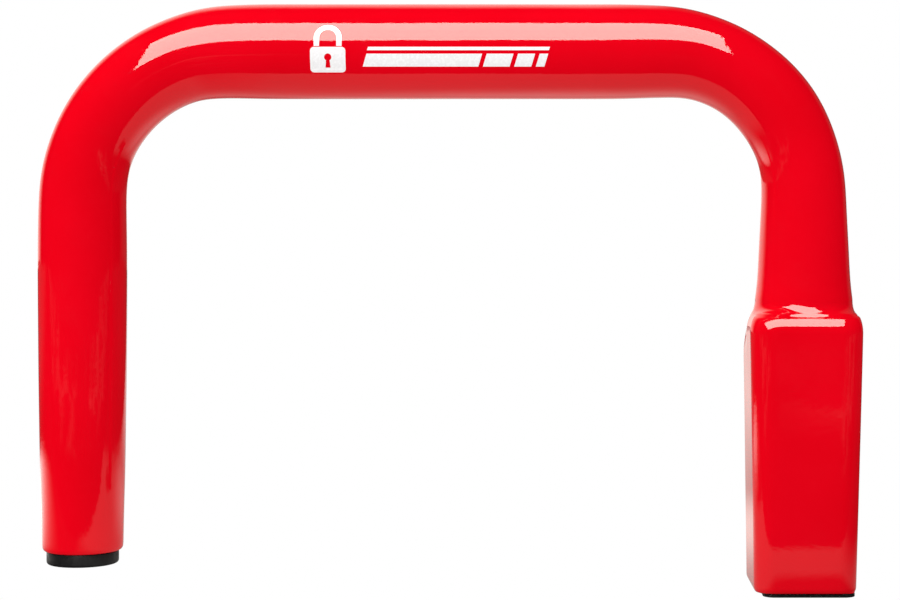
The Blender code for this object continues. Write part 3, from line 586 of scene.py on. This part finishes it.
def arc(centre_r, centre_h, radius, start, end, steps):
    """(radius, height) points on an arc between two angles in degrees."""
    result = []
    for i in range(steps + 1):
        a = math.radians(between(start, end, i / steps))
        result.append((centre_r + radius * math.cos(a), centre_h + radius * math.sin(a)))
    return result


def evaluated_mesh(obj):
    bpy.context.view_layer.update()
    return bpy.data.meshes.new_from_object(obj.evaluated_get(bpy.context.evaluated_depsgraph_get()))


def apply_modifiers(obj):
    """Replace an object's mesh by its evaluated one."""
    mesh = evaluated_mesh(obj)
    obj.modifiers.clear()
    obj.data = mesh


def cut(target, cutter):
    """Cut one object out of another, and drop the cutter."""
    modifier = target.modifiers.new("cut", 'BOOLEAN')
    modifier.operation = 'DIFFERENCE'
    modifier.solver = 'EXACT'
    modifier.object = cutter
    apply_modifiers(target)
    bpy.data.objects.remove(cutter)


def add_bevel(obj, width, segments, angle):
    """A bevel on the edges over an angle."""
    bevel = obj.modifiers.new("Bevel", 'BEVEL')
    bevel.width = width
    bevel.segments = segments
    bevel.limit_method = 'ANGLE'
    bevel.angle_limit = angle


def paint(obj, name):
    obj.data.materials.clear()
    obj.data.materials.append(MATERIALS[name])


def piece(obj, material, body, *nodes):
    """Finish a new piece: its material, its body and the CAD nodes it stands for."""
    paint(obj, material)
    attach(obj, body)
    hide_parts(*nodes)


# ---------------------------------------------------------------- the dipped skin
def ring_angles():
    """Angles round a section, closer together at the case's corners."""
    for i in range(RING_POINTS):
        even = 2.0 * math.pi * i / RING_POINTS
        yield even + RING_CROWDING * math.sin(4.0 * even)


def round_section(radius):
    return lambda a: (radius * math.cos(a), radius * math.sin(a))


def on_rectangle(angle, half_x, half_y, corner):
    """The point where a ray from the middle leaves a rectangle with round corners."""
    c, s = abs(math.cos(angle)), abs(math.sin(angle))
    if c > 1e-9 and half_x * s / c <= half_y - corner:
        x, y = half_x, half_x * s / c
    elif s > 1e-9 and half_y * c / s <= half_x - corner:
        x, y = half_y * c / s, half_y
    else:
        mx, my = half_x - corner, half_y - corner
        along = c * mx + s * my
        reach = along + math.sqrt(along ** 2 - mx ** 2 - my ** 2 + corner ** 2)
        x, y = reach * c, reach * s
    return math.copysign(x, math.cos(angle)), math.copysign(y, math.sin(angle))


def shoulder_share(z):
    """0 on the leg, 1 on the case: a concave fillet that turns into a convex edge."""
    if z >= SHOULDER_TOP:
        return 0.0
    if z <= SHOULDER_LOW:
        return 1.0
    if z > SHOULDER_TURN:
        drop = (SHOULDER_TOP - z) / SHOULDER_CONCAVE
        return SHOULDER_CONCAVE * (1.0 - math.sqrt(1.0 - drop ** 2)) / SHOULDER_RISE
    lift = (z - SHOULDER_LOW) / SHOULDER_CONVEX
    return 1.0 - SHOULDER_CONVEX * (1.0 - math.sqrt(1.0 - lift ** 2)) / SHOULDER_RISE


def down_case(z):
    """0 at the shoulder and above, 1 at the case's foot."""
    return max((SHOULDER_LOW - z) / (SHOULDER_LOW - RIM_CASE_Z), 0.0)


def case_lean(z):
    """How far the coat's middle is off the case's, to the inside, at a height."""
    return -CASE_LEAN_HIGH * shoulder_share(z) - (CASE_LEAN_LOW - CASE_LEAN_HIGH) * down_case(z)


def case_section(z, inset):
    """The coat's section at a height between the right bend and the case's foot."""
    share = shoulder_share(z)
    slow = max(share, 0.0) if z < BACK_SLOPE_LOW else ease(-z, -BACK_SLOPE_TOP, -BACK_SLOPE_LOW)
    leg = COAT_RADII_MM[-1][1] * MM
    down = down_case(z)
    case_x = between(CASE_X_HIGH, CASE_X_LOW, down)
    case_y = between(CASE_Y_HIGH, CASE_Y_LOW, down)
    corner = between(CORNER_HIGH, CORNER_LOW, down) - inset * CORNER_TUCK
    half_y = between(leg, case_y, share) - inset
    squared = ease(share, *SHOULDER_SQUARED)

    def section(angle):
        back = ease(math.sin(angle), 0.0, BACK_SLOPE_TURN)
        half_x = between(leg, case_x, between(share, slow, back)) - inset
        rx, ry = on_rectangle(angle, half_x, half_y, corner)
        ox, oy = half_x * math.cos(angle), half_y * math.sin(angle)
        return between(ox, rx, squared), between(oy, ry, squared)

    return section


def bend_share(run, start):
    """How much of a bend's full curvature acts at a distance along the bow."""
    half = BEND_RAMP / 2
    end = start + BEND_RUN
    return ease(run, start - half, start + half) - ease(run, end - half, end + half)


def bow_path():
    """(run, centre, heading) in small steps along the bow, with bends that ease in and out."""
    steps = BOW_STEPS * STEP_PARTS
    step = BOW_RUN / steps
    heading = QUARTER
    place = Vector((LEFT_X, 0.0, RIM_LEFT_Z))
    path = [(0.0, place.copy(), heading)]
    for i in range(steps):
        run = step * (i + 0.5)
        turn = (bend_share(run, FIRST_BEND) + bend_share(run, SECOND_BEND)) * step / BEND_RADIUS
        heading -= turn / 2
        place += Vector((math.cos(heading), 0.0, math.sin(heading))) * step
        heading -= turn / 2
        path.append((step * (i + 1), place.copy(), heading))
    return path


def bow_stations():
    """(centre, heading, radius in mm) along the bow, from above the plain leg's rim to the shoulder."""
    path = bow_path()
    end_z = BEND_Z - (BOW_RUN - SECOND_BEND - BEND_RUN)
    miss = Vector((RIGHT_X, 0.0, end_z)) - path[-1][1]
    radii = [smooth_table(COAT_RADII_MM, run) for run, _, _ in path]
    for _ in range(RADIUS_SMOOTHINGS):
        middle = [(a + 2.0 * b + c) / 4.0 for a, b, c in zip(radii, radii[1:], radii[2:])]
        radii = radii[:1] + middle + radii[-1:]
    stations = []
    for (run, place, heading), radius in list(zip(path, radii))[::STEP_PARTS]:
        if run <= RIM_ROUND + FIRST_STATION_GAP:
            continue
        share = (run - FIRST_BEND + SAG_OVERRUN) / (BEND_RUN + 2.0 * SAG_OVERRUN)
        sag = FIRST_BEND_SAG * math.sin(math.pi * min(max(share, 0.0), 1.0)) ** 2
        shift = Vector((math.sin(heading), 0.0, -math.cos(heading))) * sag
        on_bar = ease(run, FIRST_BEND, FIRST_BEND + BEND_RUN)
        on_bar -= ease(run, SECOND_BEND, SECOND_BEND + BEND_RUN)
        shift.z -= BAR_DROP * on_bar
        stations.append((place + shift + miss * (run / BOW_RUN), heading, radius))
    return stations


def skin_stations():
    """(centre, heading, function from angle to point) down the whole coat, from the plain leg's rim."""
    stations = []
    radius = COAT_RADII_MM[0][1] * MM
    for i in range(RIM_STEPS + 1):
        a = QUARTER * i / RIM_STEPS
        centre = Vector((LEFT_X, 0.0, RIM_LEFT_Z + RIM_ROUND * (1.0 - math.cos(a))))
        rim = round_section(radius - RIM_ROUND * (1.0 - math.sin(a)) * RIM_TUCK_LEFT)
        stations.append((centre, QUARTER, rim))
    for centre, heading, radius in bow_stations():
        stations.append((centre, heading, round_section(radius * MM)))
    edge_z = RIM_CASE_Z + RIM_ROUND
    heights = [SHOULDER_TOP - SHOULDER_STEP * (i + 1) for i in range(SHOULDER_STEPS)]
    heights += [CASE_STEP_TOP - CASE_STEP * i for i in range(CASE_STEPS)]
    heights = [z for z in heights if z > edge_z] + [edge_z]
    for z in heights:
        stations.append((Vector((RIGHT_X + case_lean(z), 0.0, z)), -QUARTER, case_section(z, 0.0)))
    for i in range(RIM_STEPS):
        a = QUARTER * (i + 1) / RIM_STEPS
        z = RIM_CASE_Z + RIM_ROUND * (1.0 - math.sin(a))
        rim = case_section(z, RIM_ROUND * (1.0 - math.cos(a)) * RIM_TUCK_CASE)
        stations.append((Vector((RIGHT_X + case_lean(z), 0.0, z)), -QUARTER, rim))
    return stations


def inner_stations():
    """The inside of the coat, from the case's foot back to the plain leg's rim."""
    stations = []

    def add(x, z, heading, section):
        stations.append((Vector((x, 0.0, z)), heading, section))

    def case(angle):
        return on_rectangle(angle, CASE_ROOM_X, CASE_ROOM_Y, CASE_ROOM_CORNER)

    tube = round_section(TUBE_ROOM)
    for i in range(ROOM_CASE_STEPS + 1):
        add(RIGHT_X, between(RIM_CASE_Z, CASE_ROOM_TOP, i / ROOM_CASE_STEPS), -QUARTER, case)
    add(RIGHT_X, CASE_ROOM_TOP + WELD_ROOM_STEP, -QUARTER, round_section(WELD_ROOM_RADIUS))
    add(RIGHT_X, WELD_ROOM_TOP, -QUARTER, tube)
    add(RIGHT_X, (WELD_ROOM_TOP + BEND_Z) / 2, -QUARTER, tube)
    for i in range(ROOM_BEND_STEPS + 1):
        a = QUARTER * i / ROOM_BEND_STEPS
        x = RIGHT_X - BEND_RADIUS * (1.0 - math.cos(a))
        add(x, BEND_Z + BEND_RADIUS * math.sin(a), a - QUARTER, tube)
    for i in range(ROOM_BEND_STEPS + 1):
        a = QUARTER * (ROOM_BEND_STEPS - i) / ROOM_BEND_STEPS
        x = LEFT_X + BEND_RADIUS * (1.0 - math.cos(a))
        add(x, BEND_Z + BEND_RADIUS * math.sin(a), QUARTER - a, tube)
    for i in range(ROOM_LEG_STEPS):
        add(LEFT_X, between(BEND_Z, RIM_LEFT_Z, (i + 1) / ROOM_LEG_STEPS), QUARTER, tube)
    return stations


def rings_of(stations, wave):
    """Points of each section, with a slow unevenness in the dip's thickness."""
    rings = []
    for number, (centre, heading, section) in enumerate(stations):
        across = Vector((math.sin(heading), 0.0, -math.cos(heading)))
        ring = []
        for angle in ring_angles():
            x, y = section(angle)
            swell = wave * (math.sin(0.071 * number + 1.3) * math.cos(angle + 0.02 * number)
                            + 0.6 * math.sin(0.031 * number + 2.0 * angle))
            size = 1.0 + swell / DIP_WAVE_RADIUS
            ring.append(centre + across * x * size + Vector((0.0, y * size, 0.0)))
        rings.append(ring)
    return rings


def hole_cutter(x, z, radius, lip):
    """A cutter along +Y for a hole whose edge rolls over with a small radius."""
    face = case_section(z, 0.0)(QUARTER)[1]
    profile = [(0.0, face - HOLE_REACH), (radius, face - HOLE_REACH)]
    profile += [(radius + lip * (1.0 - math.cos(a)), face - lip + lip * math.sin(a))
                for a in (HOLE_ROLL * i / HOLE_ROLL_STEPS for i in range(HOLE_ROLL_STEPS + 1))]
    profile += [(radius + lip * HOLE_FLARE, face + HOLE_REACH), (0.0, face + HOLE_REACH)]
    place = Matrix.Translation((x, 0.0, z)) @ Matrix.Rotation(-QUARTER, 4, 'X')
    return turned("hole", profile, HOLE_SIDES, place)


def build_skin():
    outer = rings_of(skin_stations(), DIP_WAVE)
    inner = rings_of(inner_stations(), 0.0)
    points, faces = loft(outer + inner, True)
    skin = shade(from_faces("dipped_skin", points, faces), 60.0)
    cut(skin, hole_cutter(CYLINDER_X, CYLINDER_Z, *CYLINDER_HOLE))
    for z in PIN_HEIGHTS:
        cut(skin, hole_cutter(CYLINDER_X, z, *PIN_HOLE))
    shade(skin, 60.0)
    back = [v.index for v in skin.data.vertices if v.co.y > BACK_FACE_Y and v.co.z < SHOULDER_LOW]
    skin.vertex_groups.new(name="back").add(back, 1.0, 'REPLACE')
    even = skin.modifiers.new("Normals", 'WEIGHTED_NORMAL')
    even.keep_sharp = True
    even.vertex_group = "back"
    piece(skin, "red_vinyl", "bow", "vinyl_coat")


# ---------------------------------------------------------------- plug and pad
def build_plug():
    """The plug's head, with a rounded edge and a shallow dish in its face, on a ribbed shank."""
    low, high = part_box("end_plug")
    face = low.z
    radius = (high.x - low.x) / 2
    head = RIM_LEFT_Z - PLUG_GAP
    above, flat, below = PLUG_RIB_SHAPE
    profile = [(0.0, high.z)] + arc(PLUG_SHANK - PLUG_TIP, high.z - PLUG_TIP, PLUG_TIP, 90, 0, 4)
    for i in range(PLUG_RIBS):
        z = high.z - PLUG_RIB_FIRST - PLUG_RIB_PITCH * i
        profile += [(PLUG_SHANK, z + above), (PLUG_RIB, z), (PLUG_RIB, z - flat), (PLUG_SHANK, z - below)]
    profile += [(PLUG_SHANK, head)]
    profile += arc(radius - PLUG_CORNER, head - PLUG_CORNER, PLUG_CORNER, 90, 0, 3)
    profile += arc(radius - PLUG_EDGE, face + PLUG_EDGE, PLUG_EDGE, 0, -90, 8)
    profile += [(PLUG_DISH + PLUG_DISH_FLAT, face)]
    profile += arc(PLUG_DISH, face + PLUG_DISH_EDGE, PLUG_DISH_EDGE, -90, -180, 4)[1:]
    profile += [(r, face + depth) for r, depth in PLUG_DISH_FLOOR]
    place = Matrix.Translation((LEFT_X, 0.0, 0.0))
    piece(turned("end_plug_fine", profile, 96, place), "black_plastic", "bow", "end_plug")


def build_pad():
    """The rubber pad, with grooves across its gripping face and rounded edges."""
    low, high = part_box("foot_pad")
    pitch = (high.y - low.y - 2.0 * PAD_MARGIN) / PAD_LANDS
    outline = [(low.y, low.z), (low.y, high.z - PAD_EDGE), (low.y + PAD_EDGE, high.z)]
    for i in range(1, PAD_LANDS):
        y = low.y + PAD_MARGIN + pitch * i
        floor = high.z - PAD_GROOVE
        outline += [(y - PAD_GROOVE, high.z), (y - PAD_GROOVE / 2, floor)]
        outline += [(y + PAD_GROOVE / 2, floor), (y + PAD_GROOVE, high.z)]
    outline += [(high.y - PAD_EDGE, high.z), (high.y, high.z - PAD_EDGE), (high.y, low.z)]
    rings = [[Vector((x, y, z)) for y, z in outline] for x in (low.x, high.x)]
    points, faces = loft(rings, False)
    pad = from_faces("grip_pad", points, faces)
    add_bevel(pad, PAD_ROUND, 3, math.radians(25.0))
    apply_modifiers(pad)
    piece(shade(pad, 40.0), "pad_rubber", "jaw", "foot_pad")


# ---------------------------------------------------------------- printed emblem
def flat_shape(outlines):
    """A flat mesh from outlines of (along, up) points; an outline inside another is a hole."""
    curve = bpy.data.curves.new("ink", 'CURVE')
    curve.dimensions = '2D'
    curve.fill_mode = 'BOTH'
    for outline in outlines:
        spline = curve.splines.new('POLY')
        spline.points.add(len(outline) - 1)
        for point, (x, y) in zip(spline.points, outline):
            point.co = (x, y, 0.0, 1.0)
        spline.use_cyclic_u = True
    obj = add_object("ink", curve)
    mesh = evaluated_mesh(obj)
    bpy.data.objects.remove(obj)
    return mesh


def circle_points(x, y, radius, start, end, steps):
    """Points round a middle, between two angles in degrees."""
    return [(x + radius * math.cos(a), y + radius * math.sin(a))
            for a in (math.radians(between(start, end, i / steps)) for i in range(steps + 1))]


def rounded_box(x, y, half_x, half_y, corner):
    """Outline of a box with round corners."""
    points = []
    for start in (0.0, 90.0, 180.0, 270.0):
        turn = math.radians(start + 45.0)
        cx = x + math.copysign(half_x - corner, math.cos(turn))
        cy = y + math.copysign(half_y - corner, math.sin(turn))
        points += circle_points(cx, cy, corner, start, start + 90.0, 8)
    return points


def slanted(start, end, low, high, lean):
    """Outline of a stripe with slanted ends."""
    low += EMBLEM_UP
    high += EMBLEM_UP
    return [(start, low), (end, low), (end + lean, high), (start + lean, high)]


def print_on_bar(name, outlines):
    """Wrap flat shapes round the crossbar as a thin raised film of ink."""
    mesh = flat_shape(outlines)
    work = bmesh.new()
    work.from_mesh(mesh)
    bmesh.ops.remove_doubles(work, verts=work.verts, dist=WELD_DISTANCE)
    heights = [v.co.y for v in work.verts]
    level = min(heights) + INK_STRIP
    while level < max(heights):
        parts = list(work.verts) + list(work.edges) + list(work.faces)
        bmesh.ops.bisect_plane(work, geom=parts, plane_co=(0, level, 0), plane_no=(0, 1, 0))
        level += INK_STRIP
    radius = BAR_RADIUS_MM * MM
    reach = radius + INK_RISE
    for vert in work.verts:
        turn = vert.co.y / radius
        vert.co = Vector((vert.co.x, -reach * math.cos(turn), BAR_CENTRE_Z + reach * math.sin(turn)))
    bmesh.ops.recalc_face_normals(work, faces=work.faces)
    if sum(face.normal.y * face.calc_area() for face in work.faces) > 0.0:
        bmesh.ops.reverse_faces(work, faces=work.faces)
    work.to_mesh(mesh)
    work.free()
    obj = add_object(name, mesh)
    film = obj.modifiers.new("film", 'SOLIDIFY')
    film.thickness = INK_THICKNESS
    film.offset = -1.0
    apply_modifiers(obj)
    paint(shade(obj, 40.0), "white_ink")
    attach(obj, "bow")


def build_emblem():
    """A plain padlock sign and a speed stripe, in place of lettering."""
    x, y = PADLOCK_X, EMBLEM_UP
    body = rounded_box(x, y - PADLOCK_BODY_DOWN, *PADLOCK_BODY)
    keyhole = circle_points(x, y - KEYHOLE_DOWN, KEYHOLE_RADIUS, -60.0, 240.0, 16)
    keyhole += [(x - KEYHOLE_HALF_SLOT, y - KEYHOLE_FOOT), (x + KEYHOLE_HALF_SLOT, y - KEYHOLE_FOOT)]
    wide, narrow = SHACKLE_RADII
    foot = y + SHACKLE_FOOT
    shackle = [(x + wide, foot)] + circle_points(x, y + SHACKLE_TOP, wide, 0.0, 180.0, 16)
    shackle += [(x - wide, foot), (x - narrow, foot)]
    shackle += circle_points(x, y + SHACKLE_TOP, narrow, 180.0, 0.0, 16) + [(x + narrow, foot)]
    print_on_bar("print_padlock", [body, keyhole])
    print_on_bar("print_shackle", [shackle])
    for name, ends in STRIPES.items():
        print_on_bar(name, [slanted(*ends, *STRIPE_SPAN)])
    print_on_bar("print_line", [slanted(*LINE_ENDS, *LINE_SPAN)])


# ---------------------------------------------------------------- CAD nodes kept
def finish_nodes():
    """Give every CAD node that still shows the finish of its slot, and break its sharp edges."""
    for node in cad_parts.values():
        if node.hide_render:
            continue
        slot = node.data.materials[0].name.split(".")[0]
        paint(node, slot)
        weld = node.modifiers.new("Weld", 'WELD')
        weld.merge_threshold = 1e-6
        add_bevel(node, BREAK_WIDTH, 2, BREAK_ANGLE)
        smooth = node.modifiers.new("Normals", 'WEIGHTED_NORMAL')
        smooth.keep_sharp = True


# ---------------------------------------------------------------- stage, light and camera
def emitter(name):
    """A new material that only gives light, with its nodes and its emission node."""
    material = bpy.data.materials.new(name)
    material.use_nodes = True
    nodes = Nodes(material.node_tree)
    nodes.tree.nodes.clear()
    glow = nodes.add("ShaderNodeEmission")
    out = nodes.add("ShaderNodeOutputMaterial")
    nodes.put(out.inputs["Surface"], glow.outputs["Emission"])
    return material, nodes, glow


def card(name, corners, material):
    """A flat four-cornered face on the stage, hidden from the camera."""
    mesh = bpy.data.meshes.new(name)
    mesh.from_pydata(corners, [], [(0, 1, 2, 3)])
    mesh.materials.append(material)
    obj = add_object(name, mesh)
    obj.visible_camera = False
    return obj


def split_by_ray(nodes, glow, diffuse, glossy, tint):
    """One level of light for diffuse rays, a tinted one for glossy rays, and plain white to the eye."""
    path = nodes.add("ShaderNodeLightPath")
    is_gloss = path.outputs["Is Glossy Ray"]
    light = nodes.mix(is_gloss, diffuse, glossy, 'FLOAT')
    seen = nodes.mix(path.outputs["Is Camera Ray"], light, 1.0, 'FLOAT')
    nodes.put_all(glow, Strength=seen, Color=nodes.mix(is_gloss, (1.0, 1.0, 1.0), tint))


def along_axes(nodes, place):
    """The X and Y of a place, as outputs."""
    split = nodes.add("ShaderNodeSeparateXYZ")
    nodes.put(split.inputs["Vector"], place)
    return split.outputs["X"], split.outputs["Y"]


def round_light(nodes, place, centre, *fade):
    """Light that fades by the distance from a point."""
    node = nodes.add("ShaderNodeVectorMath", operation='DISTANCE')
    nodes.put(node.inputs[0], place)
    nodes.put(node.inputs[1], centre)
    return nodes.eased(node.outputs["Value"], *fade)


def room_patches(nodes, place, x, y):
    """Faint light patches far in front of the object, off to both sides."""
    patches = nodes.eased(nodes.noise(*PATCH_NOISE, place=place), *PATCH_LIGHT)
    off = nodes.math('SUBTRACT', x, PATCH_MIDDLE)
    beside = nodes.eased(nodes.times(off, off), *PATCH_BESIDE)
    return nodes.times(patches, beside, nodes.eased(y, *PATCH_NEAR), nodes.eased(y, *PATCH_FAR))


def studio_floor():
    """A pale floor, hidden from the camera, that lights the object and shows in its gloss; its light
    carries a painted shadow round the case's foot and painted pools of light.
    """
    material, nodes, glow = emitter("floor")
    place = nodes.add("ShaderNodeTexCoord").outputs["Object"]
    x, y = along_axes(nodes, place)
    front = nodes.times(nodes.eased(y, *FLOOR_FRONT), nodes.eased(x, *FLOOR_FRONT_LEFT))
    shiny = nodes.math('ADD', front, nodes.eased(y, *FLOOR_BACK))
    shiny = nodes.times(shiny, nodes.eased(x, *FLOOR_RIGHT), nodes.eased(x, *FLOOR_LEFT))
    # painted contact shadow round the case's foot
    shiny = nodes.times(shiny, round_light(nodes, place, *FLOOR_CONTACT_SHADOW))
    # painted pools of light
    for pool in FLOOR_LIGHT_POOLS:
        shiny = nodes.math('ADD', shiny, round_light(nodes, place, *pool))
    shiny = nodes.math('ADD', shiny, room_patches(nodes, place, x, y))
    # the diffuse light carries a painted shadow round the case's foot
    split_by_ray(nodes, glow, round_light(nodes, place, *FLOOR_BOUNCE_PAINTED_SHADOW), shiny, FLOOR_TINT)
    corners = [(-FLOOR_HALF, -FLOOR_HALF, 0), (FLOOR_HALF, -FLOOR_HALF, 0),
               (FLOOR_HALF, FLOOR_HALF, 0), (-FLOOR_HALF, FLOOR_HALF, 0)]
    floor = card("studio_floor", corners, material)
    floor.location.z = -FLOOR_DROP


def world_light():
    """White to the camera; soft light from the left, front and top; a white wall behind for the gloss."""
    world = bpy.data.worlds.new("studio")
    bpy.context.scene.world = world
    world.use_nodes = True
    nodes = Nodes(world.node_tree)
    nodes.tree.nodes.clear()
    glow = nodes.add("ShaderNodeBackground")
    out = nodes.add("ShaderNodeOutputWorld")
    nodes.put(out.inputs["Surface"], glow.outputs["Background"])
    place = nodes.add("ShaderNodeTexCoord").outputs["Generated"]
    side = nodes.add("ShaderNodeVectorMath", operation='DOT_PRODUCT')
    nodes.put(side.inputs[0], place)
    nodes.put(side.inputs[1], WORLD_TOWARDS)
    soft = nodes.math('ADD', side.outputs["Value"], WORLD_LEVEL)
    x, y = along_axes(nodes, place)
    wall = nodes.times(nodes.eased(y, *WALL_BACK), nodes.eased(x, *WALL_SIDE))
    split_by_ray(nodes, glow, soft, wall, WALL_TINT)


def softbox():
    """The long overhead softbox, seen in the gloss only."""
    corners = []
    for x, y in SOFTBOX_CORNERS:
        rise = (SOFTBOX_DISTANCE + math.sin(SOFTBOX_TILT) * y) / math.cos(SOFTBOX_TILT)
        corners.append((x, y, CROSSBAR_Z + rise))
    material, _, glow = emitter("softbox")
    glow.inputs["Color"].default_value = SOFTBOX_TINT
    glow.inputs["Strength"].default_value = SOFTBOX_LIGHT
    box = card("softbox", corners, material)
    box.visible_diffuse = False
    box.visible_shadow = False


def front_lamp():
    """A square lamp above the front, turned to the bow, that the gloss doesn't show."""
    light = bpy.data.lights.new("top_front", 'AREA')
    light.shape = 'SQUARE'
    light.size = LAMP_SIZE
    light.energy = LAMP_RADIANCE * math.pi * LAMP_SIZE ** 2
    obj = add_object("top_front", light)
    obj.location = LAMP_PLACE
    obj.rotation_mode = 'QUATERNION'
    obj.rotation_quaternion = (Vector(LAMP_PLACE) - Vector(LAMP_AIM)).to_track_quat('Z', 'Y')
    obj.visible_glossy = False
    obj.visible_camera = False


def place_camera():
    """The camera level with the bow, in front and to the right of its middle."""
    camera = add_object("camera", bpy.data.cameras.new("camera"))
    camera.location = CAMERA_PLACE
    camera.rotation_euler = (QUARTER, 0.0, 0.0)
    camera.data.lens = CAMERA_LENS
    camera.data.sensor_width = CAMERA_SENSOR
    camera.data.shift_x, camera.data.shift_y = CAMERA_SHIFT
    bpy.context.scene.camera = camera
    bpy.context.scene.view_settings.view_transform = 'Standard'


build_skin()
build_plug()
build_pad()
build_emblem()
finish_nodes()
studio_floor()
world_light()
softbox()
front_lamp()
place_camera()
